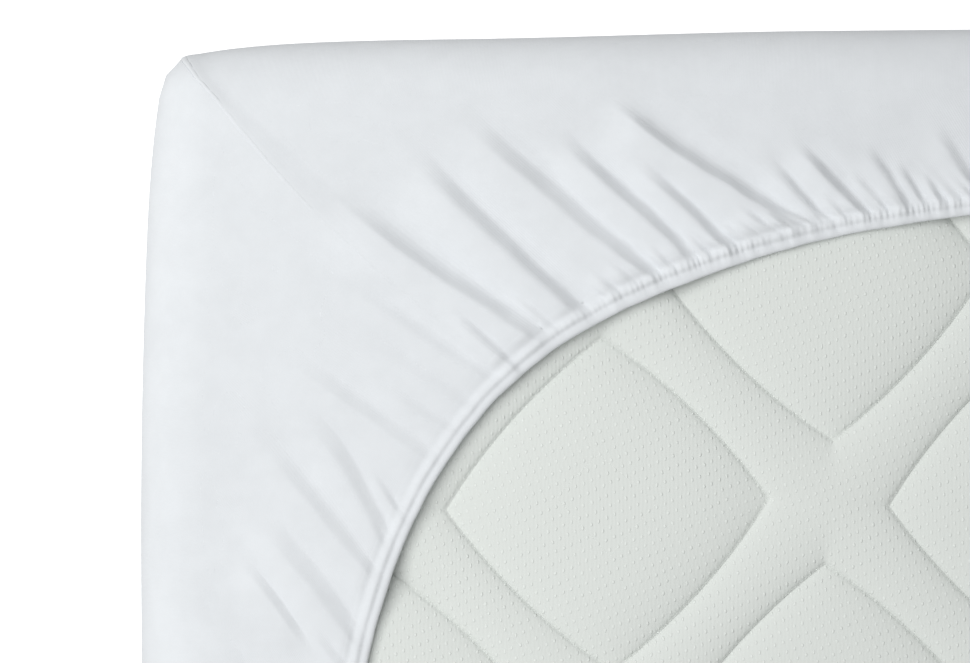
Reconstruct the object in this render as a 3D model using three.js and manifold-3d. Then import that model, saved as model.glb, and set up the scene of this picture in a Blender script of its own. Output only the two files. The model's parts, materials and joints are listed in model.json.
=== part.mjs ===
// A fitted mattress pad on its mattress, lying sleeping side down so that the hem faces up.
// Millimetres, +Z up, origin under the middle of the base. X runs along the mattress, Y across it.
// Plan distances p and q are measured inwards from the pad's short end and from its long side.

import * as THREE from 'three';
import Module from 'manifold-3d';

// Driving dimensions
const MATTRESS = {
  length: 2000,
  width: 900,
  thickness: 180,
  edgeRadius: 24,
  cornerRadius: 10,
};
const CLOTH = {
  thickness: 2.4,
  edgeClearance: 2,
  lowerGap: 0.4,
  upperGap: 0.8,
};

// The hem is a closed curve at which the pulls of the four edges add up to one.
const HEM = {
  nearestEdge: 74.1,
  cornerReach: 149.4,
  width: 9,
  thickness: 3.6,
  roundedEnd: 1.5,
  heightShares: { line: 0.55, top: 0.35, edge: 0.3 },
};

// The cloth draws the mattress in near its corners, more along the short ends.
const END_DRAW = { depth: 13, reach: 62 };
const SIDE_DRAW = { depth: 10, reach: 38 };
const DRAW_FADE = 200;

// Creases of the skirt near one corner. Edge and hem are distances from the corner along the side.
// A crease starts at a share of the way from edge to hem, rises to its crest and drops over its flank.
const CREASES = [
  { side: 'end', edge: 236, hem: 340, bow: 6, start: 0.34, rise: 2.8, flank: 4 },
  { side: 'end', edge: 200, hem: 311, bow: 0, start: 0.3, rise: 3.2, flank: 6 },
  { side: 'end', edge: 160, hem: 272, bow: 0, start: 0.35, rise: 3.2, flank: 5 },
  { side: 'end', edge: 150, hem: 256, bow: 14, start: 0.52, rise: 2.8, flank: 4 },
  { side: 'end', edge: 126, hem: 214, bow: 0, start: 0.42, rise: 2.2, flank: 5 },
  { side: 'end', edge: 62, hem: 181.5, bow: -4, start: 0.42, rise: 3, flank: 5 },
  { side: 'long', edge: 45, hem: 195, bow: 0, start: 0.76, rise: 2.6, flank: 3.5 },
  { side: 'long', edge: 52, hem: 205, bow: -5, start: 0.34, rise: 5, flank: 4.5 },
  { side: 'long', edge: 108, hem: 225, bow: 0, start: 0.28, rise: 4, flank: 5.5 },
  { side: 'long', edge: 151, hem: 259, bow: 0, start: 0.12, rise: 3.6, flank: 6 },
  { side: 'long', edge: 190, hem: 280, bow: 0, start: 0.35, rise: 4.2, flank: 5 },
  { side: 'long', edge: 212, hem: 296, bow: 0, start: 0.48, rise: 3.6, flank: 4 },
  { side: 'long', edge: 233, hem: 337, bow: 0, start: 0.03, rise: 5.2, flank: 4.5 },
  { side: 'long', edge: 286, hem: 348, bow: 0, start: 0.45, rise: 2.6, flank: 3.5 },
  { side: 'long', edge: 305, hem: 368, bow: 0, start: 0.42, rise: 3.8, flank: 3.5 },
  { side: 'long', edge: 347, hem: 386, bow: 0, start: 0.45, rise: 2, flank: 3 },
];
const SEAM = { side: 'long', edge: 37, hem: 188, bow: -4, start: -0.2, rise: 2.4, halfWidth: 6 };
const CREASE_FORM = { growth: 0.3, wideFlank: 13, dip: 0.2 };

// Softer gathers follow along the long sides, unevenly spaced.
const GATHERS = { first: 440, spacing: 84, unevenness: 26, lean: 26, rise: 2.2, start: 0.3, flank: 7 };

// The other corners hold the same creases, each a little different.
const CORNERS = [
  { signX: 1, signY: 1, shift: 5, riseShare: 0.25, seed: 0.31 },
  { signX: -1, signY: 1, shift: 0, riseShare: 0, seed: 0 },
  { signX: -1, signY: -1, shift: 5, riseShare: 0.25, seed: 0.57 },
  { signX: 1, signY: -1, shift: 5, riseShare: 0.25, seed: 0.83 },
];

// Quilted diamonds of the ticking, in face-centred rows, with a soft band between them.
const QUILT = {
  pitchX: 222,
  pitchY: 229,
  firstP: 233,
  firstQ: 234.3,
  seamAt: 0.73,
  sideBow: 0.07,
  turn: THREE.MathUtils.degToRad(1.6),
  seamDepth: 8,
  bandRise: 5,
  steps: [-1, -0.73, -0.42, 0, 0.42, 0.73, 1],
  plainBorder: 60,
  borderBlend: 14,
};

// Mesh fineness
const ROWS = {
  skirt: [0, 0.36, 0.6, 0.8, 0.92],
  rounding: [60, 30, 0],
  lowerRounding: [0, 45, 90],
};
const WALL_STATIONS = { end: [34, 60, 100, 160, 250, 370], long: [34, 60, 100, 160, 260, 420, 680] };
const CORNER_STEPS = 4;
const COLUMN_GAP = { crease: 1.15, smallest: 4, nearCorner: 16, alongSides: 45, cornerZone: 250 };
const SMALLEST_RADIUS = 1.5;

// Sizes that follow
const COVER = CLOTH.thickness + CLOTH.edgeClearance;
const HALF_LENGTH = MATTRESS.length / 2 + COVER;
const HALF_WIDTH = MATTRESS.width / 2 + COVER;
const CORNER_RADIUS = MATTRESS.cornerRadius + COVER;
const EDGE_RADIUS = MATTRESS.edgeRadius + COVER;
const LOWER_RADIUS = CORNER_RADIUS;
const MATTRESS_BASE = CLOTH.thickness + CLOTH.lowerGap;
const MATTRESS_TOP = MATTRESS_BASE + MATTRESS.thickness;
const SKIRT_UNDERSIDE = MATTRESS_TOP + CLOTH.upperGap;
const SKIRT_TOP = SKIRT_UNDERSIDE + CLOTH.thickness;
const QUILT_X = QUILT.firstP - HALF_LENGTH;
const QUILT_Y = HALF_WIDTH - QUILT.firstQ;
const HEM_CORNER = hemCorner();

function smooth(value) {
  const t = THREE.MathUtils.clamp(value, 0, 1);
  return t * t * (3 - 2 * t);
}

function uneven(index, seed) {
  const wave = Math.sin((index + 1) * 12.9898 + seed * 78.233) * 43758.5453;
  return 2 * (wave - Math.floor(wave)) - 1;
}

// Outline and hem

function pull(distance) {
  return Math.exp(-(distance - HEM.nearestEdge) / HEM.cornerReach);
}

function hemDistance(along, halfAlong, halfAcross) {
  let across = HEM.nearestEdge;
  for (let step = 0; step < 6; step += 1) {
    const others = pull(along) + pull(2 * halfAlong - along) + pull(2 * halfAcross - across);
    across = HEM.nearestEdge - HEM.cornerReach * Math.log(1 - others);
  }
  return across;
}

function hemCorner() {
  let corner = 2 * HEM.nearestEdge;
  for (let step = 0; step < 40; step += 1) {
    corner = (corner + hemDistance(corner, HALF_LENGTH, HALF_WIDTH)) / 2;
  }
  return corner;
}

// A station counts from the corner: upwards along the long side, downwards along the short end.
function hemPoint(station) {
  const along = HEM_CORNER + Math.abs(station);
  if (station >= 0) {
    return new THREE.Vector2(along, hemDistance(along, HALF_LENGTH, HALF_WIDTH));
  }
  return new THREE.Vector2(hemDistance(along, HALF_WIDTH, HALF_LENGTH), along);
}

function hemOutward(point) {
  const towardsEnd = pull(point.x) - pull(2 * HALF_LENGTH - point.x);
  const towardsSide = pull(point.y) - pull(2 * HALF_WIDTH - point.y);
  return new THREE.Vector2(-towardsEnd, -towardsSide).normalize();
}

function edgePoint(station) {
  const along = EDGE_RADIUS + Math.abs(station);
  return station >= 0 ? new THREE.Vector2(along, EDGE_RADIUS) : new THREE.Vector2(EDGE_RADIUS, along);
}

function drawnIn(x, y) {
  const fromEnd = Math.max(HALF_LENGTH - Math.abs(x), 0);
  const fromSide = Math.max(HALF_WIDTH - Math.abs(y), 0);
  const endPull = END_DRAW.depth * Math.exp(-fromSide / END_DRAW.reach) * smooth(1 - fromEnd / DRAW_FADE);
  const sidePull = SIDE_DRAW.depth * Math.exp(-fromEnd / SIDE_DRAW.reach) * smooth(1 - fromSide / DRAW_FADE);
  return [x - Math.sign(x) * endPull, y - Math.sign(y) * sidePull];
}

function placed(corner, point, height) {
  const [x, y] = drawnIn(corner.signX * (HALF_LENGTH - point.x), corner.signY * (HALF_WIDTH - point.y));
  return new THREE.Vector3(x, y, height);
}

// Creases

function signedStation(row, distance, cornerDistance) {
  return row.side === 'long' ? distance - cornerDistance : cornerDistance - distance;
}

function laidCrease(row, index, corner) {
  const hemStation = signedStation(row, row.hem, HEM_CORNER) + corner.shift * uneven(index, corner.seed);
  const edgeStation = signedStation(row, row.edge, EDGE_RADIUS);
  const from = edgePoint(edgeStation);
  const end = hemPoint(hemStation);
  end.addScaledVector(hemOutward(end), HEM.width);
  const direction = end.clone().sub(from);
  const length = direction.length();
  direction.divideScalar(length);
  const normal = new THREE.Vector2(direction.y, -direction.x);
  const rise = row.rise * (1 + corner.riseShare * uneven(index + 40, corner.seed));
  return { ...row, hemStation, edgeStation, from, direction, normal, length, rise };
}

function gatherRows() {
  const rows = [];
  for (let index = 0; ; index += 1) {
    const hem = GATHERS.first + index * GATHERS.spacing + GATHERS.unevenness * uneven(index, 0.5);
    if (hem > HALF_LENGTH - GATHERS.spacing / 2) {
      return rows;
    }
    const nearness = 1 - (hem - GATHERS.first) / (HALF_LENGTH - GATHERS.first);
    const rise = GATHERS.rise * (1 + 0.3 * uneven(index, 0.9));
    rows.push({ ...GATHERS, side: 'long', bow: 0, edge: hem - GATHERS.lean * nearness, hem, rise });
  }
}

function creaseHeight(crease, point) {
  const offset = point.clone().sub(crease.from);
  const along = offset.dot(crease.direction) / crease.length;
  const bow = crease.bow * Math.sin(Math.PI * THREE.MathUtils.clamp(along, 0, 1));
  const across = offset.dot(crease.normal) - bow;
  const size = crease.rise * smooth((along - crease.start) / CREASE_FORM.growth);
  if (crease.halfWidth) {
    return size * Math.exp(-((across / crease.halfWidth) ** 2));
  }
  if (across < -crease.flank) {
    return size * Math.exp(-(((across + crease.flank) / CREASE_FORM.wideFlank) ** 2));
  }
  if (across > crease.flank) {
    return -size * CREASE_FORM.dip * Math.exp(-(((across - crease.flank) / CREASE_FORM.wideFlank) ** 2));
  }
  const drop = smooth((across + crease.flank) / (2 * crease.flank));
  return size * (1 - (1 + CREASE_FORM.dip) * drop);
}

function skirtHeight(creases, point) {
  return Math.max(creases.reduce((sum, crease) => sum + creaseHeight(crease, point), 0), 0);
}

// Columns of the skirt, each from the rounded edge to the hem, laid along the creases

function columnStations(creases) {
  const wanted = [HEM_CORNER - HALF_WIDTH, HALF_LENGTH - HEM_CORNER];
  for (const crease of creases) {
    const reach = COLUMN_GAP.crease * (crease.flank || crease.halfWidth);
    const marks = crease.halfWidth ? [-1, 0, 1] : [-1, 1];
    wanted.push(...marks.map((mark) => crease.hemStation + mark * reach));
  }
  wanted.sort((a, b) => a - b);
  const last = wanted[wanted.length - 1];
  const stations = [wanted[0]];
  for (const station of wanted.slice(1)) {
    const before = stations[stations.length - 1];
    const gap = station - before;
    if (gap < COLUMN_GAP.smallest && station !== last) {
      continue;
    }
    const near = Math.abs(station) < COLUMN_GAP.cornerZone;
    const parts = Math.ceil(gap / (near ? COLUMN_GAP.nearCorner : COLUMN_GAP.alongSides));
    for (let part = 1; part <= parts; part += 1) {
      stations.push(before + (gap * part) / parts);
    }
  }
  return stations;
}

function layColumns(creases) {
  const knots = creases.map(({ hemStation, edgeStation, bow }) => ({ hemStation, edgeStation, bow }));
  knots.push({ hemStation: HEM_CORNER - HALF_WIDTH, edgeStation: EDGE_RADIUS - HALF_WIDTH, bow: 0 });
  knots.push({ hemStation: HALF_LENGTH - HEM_CORNER, edgeStation: HALF_LENGTH - EDGE_RADIUS, bow: 0 });
  knots.sort((a, b) => a.hemStation - b.hemStation);
  return columnStations(creases).map((station) => {
    const next = Math.max(knots.findIndex((knot) => knot.hemStation >= station), 1);
    const [low, high] = [knots[next - 1], knots[next]];
    const share = (station - low.hemStation) / (high.hemStation - low.hemStation);
    const edgeStation = THREE.MathUtils.lerp(low.edgeStation, high.edgeStation, share);
    const bow = THREE.MathUtils.lerp(low.bow, high.bow, share);
    const hem = hemPoint(station);
    const outward = hemOutward(hem);
    const edge = edgePoint(edgeStation);
    const hemLine = hem.clone().addScaledVector(outward, HEM.width);
    const run = hemLine.clone().sub(edge);
    const normal = new THREE.Vector2(run.y, -run.x).normalize();
    return { edgeStation, bow, hem, outward, edge, run, normal };
  });
}

function columnPoint(column, share) {
  const point = column.edge.clone().addScaledVector(column.run, share);
  return point.addScaledVector(column.normal, column.bow * Math.sin(Math.PI * share));
}

function hemRow(column, fromEdge) {
  return column.hem.clone().addScaledVector(column.outward, fromEdge);
}

// Each corner gives its columns in turn, anticlockwise from the middle of one short end.
function aroundCorners(cornerColumns) {
  return CORNERS.flatMap((corner, index) => {
    const columns = cornerColumns(corner, index);
    const turned = corner.signX * corner.signY > 0 ? columns : [...columns].reverse();
    return turned.slice(0, -1);
  });
}

function skirtColumns() {
  return aroundCorners((corner, cornerIndex) => {
    const rows = [...CREASES, SEAM, ...gatherRows()];
    const creases = rows.map((row, index) => laidCrease(row, index + 7 * cornerIndex, corner));
    return layColumns(creases).map((column) => ({ ...column, corner, creases }));
  });
}

// Plain rings round the walls. Inset is measured from the pad's outline, in plan.

function wallStations() {
  return aroundCorners((corner) => {
    const middle = { side: 'end', distance: HALF_WIDTH };
    const end = WALL_STATIONS.end.map((distance) => ({ side: 'end', distance })).reverse();
    const arc = [];
    for (let step = 0; step <= CORNER_STEPS; step += 1) {
      arc.push({ side: 'corner', angle: (step / CORNER_STEPS) * (Math.PI / 2) });
    }
    const long = WALL_STATIONS.long.map((distance) => ({ side: 'long', distance }));
    const far = { side: 'long', distance: HALF_LENGTH };
    return [middle, ...end, ...arc, ...long, far].map((station) => ({ ...station, corner }));
  });
}

function ringPoint(station, inset) {
  if (station.side === 'end') {
    return new THREE.Vector2(inset, station.distance);
  }
  if (station.side === 'long') {
    return new THREE.Vector2(station.distance, inset);
  }
  const radius = Math.max(CORNER_RADIUS - inset, SMALLEST_RADIUS);
  const centre = inset + radius;
  return new THREE.Vector2(
    centre - radius * Math.cos(station.angle),
    centre - radius * Math.sin(station.angle),
  );
}

function wallRing(stations, inset, height) {
  return stations.map((station) => {
    const point = ringPoint(station, inset);
    const position = placed(station.corner, point, height);
    position.turn = ringTurn(station.corner, point, inset);
    return position;
  });
}

// Where a point lies round the ring, as one rising number, so that unlike rings can be joined.
function ringTurn(corner, point, inset) {
  const quarter = HALF_LENGTH + HALF_WIDTH - 2 * inset;
  const along = point.x - point.y;
  const index = CORNERS.indexOf(corner);
  const fromEnd = (along + HALF_WIDTH - inset) / quarter;
  return index + (index % 2 === 0 ? fromEnd : (HALF_LENGTH - inset - along) / quarter);
}

// Rounding of an edge: how far in from the outline and how far below the top each angle lies
function roundingRing(stations, cover, radius, angle, level, upwards) {
  const turn = THREE.MathUtils.degToRad(angle);
  const inset = cover + radius * (1 - Math.cos(turn));
  const height = level - upwards * radius * (1 - Math.sin(turn));
  return wallRing(stations, inset, height);
}

// Closed solids, built ring by ring from the top middle or the hem to the bottom middle

class Skin {
  constructor() {
    this.positions = [];
    this.triangles = [];
  }

  addRing(points) {
    const first = this.positions.length / 3;
    points.forEach((point) => this.positions.push(point.x, point.y, point.z));
    return points.map((point, index) => ({ id: first + index, turn: point.turn }));
  }

  addPoint(x, y, z) {
    this.positions.push(x, y, z);
    return this.positions.length / 3 - 1;
  }

  face(a, b, c, flipped) {
    this.triangles.push(a, flipped ? c : b, flipped ? b : c);
  }

  // Two rings with the same columns
  band(upper, lower, flipped) {
    upper.forEach((corner, index) => {
      const next = (index + 1) % upper.length;
      this.face(corner.id, lower[index].id, lower[next].id, flipped);
      this.face(corner.id, lower[next].id, upper[next].id, flipped);
    });
  }

  // Two rings with unlike columns, joined in step with their turns
  joint(upper, lower, flipped) {
    const turnAt = (ring, index) => ring[index % ring.length].turn + (index >= ring.length ? 4 : 0);
    const idAt = (ring, index) => ring[index % ring.length].id;
    let above = 0;
    let below = 0;
    while (above < upper.length || below < lower.length) {
      const aboveNext = above < upper.length ? turnAt(upper, above + 1) : Infinity;
      const belowNext = below < lower.length ? turnAt(lower, below + 1) : Infinity;
      if (belowNext <= aboveNext) {
        this.face(idAt(upper, above), idAt(lower, below), idAt(lower, below + 1), flipped);
        below += 1;
      } else {
        this.face(idAt(upper, above), idAt(lower, below), idAt(upper, above + 1), flipped);
        above += 1;
      }
    }
  }

  cap(ring, height, flipped) {
    const middle = this.addPoint(0, 0, height);
    ring.forEach((corner, index) => {
      this.face(corner.id, middle, ring[(index + 1) % ring.length].id, flipped);
    });
  }

  geometry() {
    const geometry = new THREE.BufferGeometry();
    geometry.setAttribute('position', new THREE.Float32BufferAttribute(this.positions, 3));
    geometry.setIndex(this.triangles);
    geometry.computeVertexNormals();
    return geometry;
  }
}

// One face of the pad: the outer one, or the inner one a cloth's thickness further in
function padFace(skin, columns, stations, edgeRow, inner) {
  const cover = inner ? CLOTH.thickness : 0;
  const level = SKIRT_TOP - cover;
  const raised = ({ corner, creases }, point, share, extra) => {
    return placed(corner, point, level + extra + share * skirtHeight(creases, point));
  };
  const hemExtra = inner ? 0 : HEM.thickness - CLOTH.thickness;
  const shares = HEM.heightShares;
  const rings = [edgeRow];
  const top = columns.map((c) => raised(c, hemRow(c, HEM.roundedEnd), shares.top, hemExtra));
  const line = columns.map((c) => raised(c, hemRow(c, HEM.width), shares.line, 0));
  rings.push(skin.addRing(top), skin.addRing(line));
  for (const share of [...ROWS.skirt].reverse()) {
    const points = columns.map((column) => {
      const point = columnPoint(column, share);
      const position = raised(column, point, 1, 0);
      position.turn = ringTurn(column.corner, point, EDGE_RADIUS);
      return position;
    });
    rings.push(skin.addRing(points));
  }
  rings.slice(1).forEach((ring, index) => skin.band(rings[index], ring, inner));
  const upperRadius = EDGE_RADIUS - cover;
  const lowerRadius = LOWER_RADIUS - cover;
  const walls = ROWS.rounding.map((angle) => {
    return skin.addRing(roundingRing(stations, cover, upperRadius, angle, level, 1));
  });
  ROWS.lowerRounding.forEach((angle) => {
    walls.push(skin.addRing(roundingRing(stations, cover, lowerRadius, angle, cover, -1)));
  });
  skin.joint(rings[rings.length - 1], walls[0], inner);
  walls.slice(1).forEach((ring, index) => skin.band(walls[index], ring, inner));
  skin.cap(walls[walls.length - 1], cover, inner);
}

function fittedPad() {
  const skin = new Skin();
  const columns = skirtColumns();
  const stations = wallStations();
  const middle = SKIRT_UNDERSIDE + HEM.thickness / 2;
  const edge = columns.map((column) => {
    const height = middle + HEM.heightShares.edge * skirtHeight(column.creases, column.hem);
    return placed(column.corner, column.hem, height);
  });
  const edgeRow = skin.addRing(edge);
  padFace(skin, columns, stations, edgeRow, false);
  padFace(skin, columns, stations, edgeRow, true);
  return skin.geometry();
}

// Plain mattress block with rounded edges

function mattressBlock() {
  const skin = new Skin();
  const stations = wallStations();
  const lowerRadius = LOWER_RADIUS - COVER;
  const rings = [90, ...ROWS.rounding].map((angle) => {
    return skin.addRing(roundingRing(stations, COVER, MATTRESS.edgeRadius, angle, MATTRESS_TOP, 1));
  });
  ROWS.lowerRounding.forEach((angle) => {
    rings.push(skin.addRing(roundingRing(stations, COVER, lowerRadius, angle, MATTRESS_BASE, -1)));
  });
  rings.slice(1).forEach((ring, index) => skin.band(rings[index], ring, false));
  skin.cap(rings[rings.length - 1], MATTRESS_BASE, false);
  skin.cap(rings[0], MATTRESS_TOP, true);
  return skin.geometry();
}

// Quilting: each cell of the pattern holds one diamond, whose sides bow outwards

function quiltSpread(along, across) {
  const seam = QUILT.seamAt;
  const edge = seam + QUILT.sideBow * Math.max(0, 1 - (across / seam) ** 2);
  const size = Math.abs(along);
  const spread = size <= seam ? (size / seam) * edge : edge + ((size - seam) / (1 - seam)) * (1 - edge);
  return Math.sign(along) * spread;
}

function quiltRise(along, across) {
  const a = Math.abs(along) / QUILT.seamAt;
  const b = Math.abs(across) / QUILT.seamAt;
  if (a <= 1 && b <= 1) {
    return QUILT.seamDepth * ((1 - a ** 3) * (1 - b ** 3)) ** 0.5;
  }
  const outside = ((Math.max(a, b) - 1) * QUILT.seamAt) / (1 - QUILT.seamAt);
  return QUILT.bandRise * Math.sqrt(1 - (1 - outside) ** 2);
}

function quiltPoint(cellA, cellB, along, across) {
  const s = quiltSpread(along, across);
  const t = quiltSpread(across, along);
  const fade = Math.min(1, (1 - Math.max(Math.abs(s), Math.abs(t))) / (1 - QUILT.seamAt));
  const turn = QUILT.turn * fade;
  const a = cellA + (s * Math.cos(turn) - t * Math.sin(turn)) / 2;
  const b = cellB + (s * Math.sin(turn) + t * Math.cos(turn)) / 2;
  const x = QUILT_X + ((a + b) * QUILT.pitchX) / 2;
  const y = QUILT_Y + ((b - a) * QUILT.pitchY) / 2;
  const fromEdge = Math.min(HALF_LENGTH - Math.abs(x), HALF_WIDTH - Math.abs(y));
  const border = 1 - smooth((fromEdge - QUILT.plainBorder) / QUILT.borderBlend);
  const quilted = MATTRESS_TOP - QUILT.seamDepth + quiltRise(along, across);
  return new THREE.Vector3(x, y, THREE.MathUtils.lerp(quilted, MATTRESS_TOP + 1, border));
}

// The cells of the pattern that the mattress needs, counted both ways from the first diamond
function quiltCells() {
  const cells = CORNERS.map(({ signX, signY }) => {
    const along = (2 * (signX * HALF_LENGTH - QUILT_X)) / QUILT.pitchX;
    const across = (2 * (signY * HALF_WIDTH - QUILT_Y)) / QUILT.pitchY;
    return new THREE.Vector2((along - across) / 2, (along + across) / 2);
  });
  const box = new THREE.Box2().setFromPoints(cells).expandByScalar(1);
  box.min.round();
  box.max.round();
  return box;
}

// A block under the whole quilted surface, wider than the mattress on every side
function quiltedBlock() {
  const skin = new Skin();
  const perCell = QUILT.steps.length - 1;
  const cells = quiltCells();
  const countA = (cells.max.x - cells.min.x) * perCell;
  const countB = (cells.max.y - cells.min.y) * perCell;
  const gridPoint = (i, j) => {
    const cellA = Math.min(Math.floor(i / perCell), countA / perCell - 1);
    const cellB = Math.min(Math.floor(j / perCell), countB / perCell - 1);
    const along = QUILT.steps[i - cellA * perCell];
    const across = QUILT.steps[j - cellB * perCell];
    return quiltPoint(cells.min.x + cellA, cells.min.y + cellB, along, across);
  };
  const below = MATTRESS_BASE - MATTRESS.thickness;
  const top = [];
  const bottom = [];
  for (let i = 0; i <= countA; i += 1) {
    for (let j = 0; j <= countB; j += 1) {
      const point = gridPoint(i, j);
      top.push(skin.addPoint(point.x, point.y, point.z));
      bottom.push(skin.addPoint(point.x, point.y, below));
    }
  }
  const at = (i, j) => i * (countB + 1) + j;
  for (let i = 0; i < countA; i += 1) {
    for (let j = 0; j < countB; j += 1) {
      const [a, b, c, d] = [at(i, j), at(i + 1, j), at(i + 1, j + 1), at(i, j + 1)];
      skin.face(top[a], top[b], top[c], false);
      skin.face(top[a], top[c], top[d], false);
      skin.face(bottom[a], bottom[b], bottom[c], true);
      skin.face(bottom[a], bottom[c], bottom[d], true);
    }
  }
  const wall = (from, to) => {
    skin.face(bottom[from], bottom[to], top[to], false);
    skin.face(bottom[from], top[to], top[from], false);
  };
  for (let i = 0; i < countA; i += 1) {
    wall(at(i, 0), at(i + 1, 0));
    wall(at(i + 1, countB), at(i, countB));
  }
  for (let j = 0; j < countB; j += 1) {
    wall(at(countA, j), at(countA, j + 1));
    wall(at(0, j + 1), at(0, j));
  }
  return skin.geometry();
}

function toSolid(wasm, geometry) {
  return new wasm.Manifold(new wasm.Mesh({
    numProp: 3,
    vertProperties: new Float32Array(geometry.attributes.position.array),
    triVerts: new Uint32Array(geometry.index.array),
  }));
}

function toGeometry(solid) {
  const mesh = solid.getMesh();
  const geometry = new THREE.BufferGeometry();
  geometry.setAttribute('position', new THREE.BufferAttribute(mesh.vertProperties, mesh.numProp));
  geometry.setIndex(new THREE.BufferAttribute(mesh.triVerts, 1));
  geometry.computeVertexNormals();
  return geometry;
}

async function quiltedMattress() {
  const wasm = await Module();
  wasm.setup();
  const block = toSolid(wasm, mattressBlock());
  return toGeometry(block.intersect(toSolid(wasm, quiltedBlock())));
}

// Materials and assembly

const jersey = new THREE.MeshStandardMaterial({ color: 0xe7ebee, roughness: 0.9, metalness: 0 });
const ticking = new THREE.MeshStandardMaterial({ color: 0xdadfdb, roughness: 0.92, metalness: 0 });

function named(name, geometry, material) {
  const mesh = new THREE.Mesh(geometry, material);
  mesh.name = name;
  return mesh;
}

const part = new THREE.Group();
part.add(named('fitted_pad', fittedPad(), jersey));
part.add(named('mattress', await quiltedMattress(), ticking));

export default part;
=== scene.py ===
"""A fitted mattress pad on its mattress, lying sleeping side down, with its gathered hem facing up.

Lengths in the formulas are millimetres. Plan distances p and q are measured inwards from the pad's
short end and from its long side, and a station counts from a corner, upwards along the long side and
downwards along the short end.
"""

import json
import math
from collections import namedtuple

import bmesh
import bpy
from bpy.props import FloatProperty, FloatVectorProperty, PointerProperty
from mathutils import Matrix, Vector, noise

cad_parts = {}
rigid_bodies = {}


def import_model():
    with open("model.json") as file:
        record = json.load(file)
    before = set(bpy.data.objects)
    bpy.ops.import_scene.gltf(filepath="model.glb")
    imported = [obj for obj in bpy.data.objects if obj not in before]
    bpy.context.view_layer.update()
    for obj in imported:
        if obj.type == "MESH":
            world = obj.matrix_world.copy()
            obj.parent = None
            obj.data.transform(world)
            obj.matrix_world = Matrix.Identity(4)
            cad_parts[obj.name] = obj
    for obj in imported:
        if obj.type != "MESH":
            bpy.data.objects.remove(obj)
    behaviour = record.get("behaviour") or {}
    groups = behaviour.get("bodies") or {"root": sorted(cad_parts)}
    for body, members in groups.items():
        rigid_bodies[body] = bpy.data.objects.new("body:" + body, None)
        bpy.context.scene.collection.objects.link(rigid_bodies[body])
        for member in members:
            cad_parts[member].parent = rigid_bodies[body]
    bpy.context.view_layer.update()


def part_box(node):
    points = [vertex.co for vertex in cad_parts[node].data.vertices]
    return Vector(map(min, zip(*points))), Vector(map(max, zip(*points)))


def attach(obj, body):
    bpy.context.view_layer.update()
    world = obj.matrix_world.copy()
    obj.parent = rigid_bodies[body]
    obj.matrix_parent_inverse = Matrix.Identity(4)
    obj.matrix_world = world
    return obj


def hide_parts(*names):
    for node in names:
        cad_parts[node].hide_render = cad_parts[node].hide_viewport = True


bl_info = {
    "name": "Fitted Mattress Pad",
    "version": (1, 0, 0),
    "blender": (4, 5, 0),
    "location": "View3D > Sidebar > Mattress Pad",
    "description": "Makes a fitted jersey pad, drawn in by its elastic hem over a quilted mattress",
    "category": "Add Mesh",
}

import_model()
PAD_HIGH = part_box("fitted_pad")[1]
MM = 0.001

# Creases of the skirt near one corner. Edge and hem are distances from the corner along the side. A
# crease starts and is full at shares of its way from edge to hem, and one with a stop fades from there.
# It rises over its width to a crest and drops over its flank.
CreaseRow = namedtuple("CreaseRow", "side edge hem bow start full rise flank wide stop", defaults=[2])
END_CREASES = [
    (285, 385, 0, 0.02, 0.4, 1.5, 3.8, 13),
    (236, 340, 6, 0.26, 0.42, 2.9, 2.5, 11, 0.56),
    (222, 321, 0, 0.72, 0.86, 2.0, 2.8, 9),
    (194, 303, 0, 0.38, 0.62, 3.7, 5.1, 13),
    (160, 272, 0, 0.33, 0.62, 3.3, 4.0, 13),
    (150, 256, 14, 0.42, 0.66, 3.3, 4.6, 13),
    (142, 241.5, 10, 0.82, 0.9, 1.8, 1.9, 6),
    (126, 214, 0, 0.36, 0.62, 2.5, 4.2, 13),
    (110, 201, 0, 0.7, 0.88, 1.7, 3.0, 9),
    (88, 190, 0, 0.5, 0.8, 1.7, 3.8, 10),
    (60, 177, -4, 0.46, 0.74, 3.3, 3.6, 11),
]
LONG_CREASES = [
    (38, 190.4, 0, 0.8, 0.88, 3.2, 2.0, 7),
    (43, 205, -5, 0.34, 0.56, 7.4, 4.8, 13),
    (68, 211, 0, 0.84, 0.92, 2.3, 1.8, 6),
    (107, 224, -1, 0.26, 0.46, 6.6, 4.5, 13),
    (150, 258, 0, 0.08, 0.42, 6.2, 4.6, 14),
    (188, 279, 0, 0.24, 0.5, 6.6, 3.7, 12),
    (212, 297, 0, 0.4, 0.66, 5.9, 3.3, 11),
    (226, 319, 0, 0.8, 0.9, 3.4, 2.2, 7),
    (233, 334, -2, 0.06, 0.2, 7.3, 3.6, 15),
    (284, 344, 0, 0.5, 0.72, 4.8, 2.7, 9),
    (304, 364.5, 0, 0.4, 0.62, 5.7, 2.9, 11),
    (322, 375, 0, 0.66, 0.8, 2.7, 1.8, 7),
    (349, 385, 0, 0.44, 0.7, 3.6, 2.2, 9),
    (360, 393, 0, 0.6, 0.8, 2.7, 1.8, 7),
    (386, 422, 0, 0.3, 0.6, 2.5, 2.8, 9),
    (130, 241, 0, 0.88, 0.95, 2.0, 1.8, 4),
    (138, 249, 0, 0.88, 0.95, 2.0, 1.8, 4),
    (170, 268, 0, 0.86, 0.94, 2.4, 1.8, 4),
    (197, 287, 0, 0.86, 0.94, 2.4, 1.8, 4),
    (217, 304, 0, 0.86, 0.94, 2.6, 1.8, 4),
    (221, 311, 0, 0.84, 0.93, 2.8, 1.8, 4),
    (230, 327, 0, 0.86, 0.94, 2.4, 1.8, 4),
    (293, 354, 0, 0.8, 0.92, 2.2, 1.8, 4),
    (370, 402, 0, 0.7, 0.85, 2.2, 1.8, 4),
]
CREASES = [CreaseRow("end", *row) for row in END_CREASES]
CREASES += [CreaseRow("long", *row) for row in LONG_CREASES]

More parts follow.
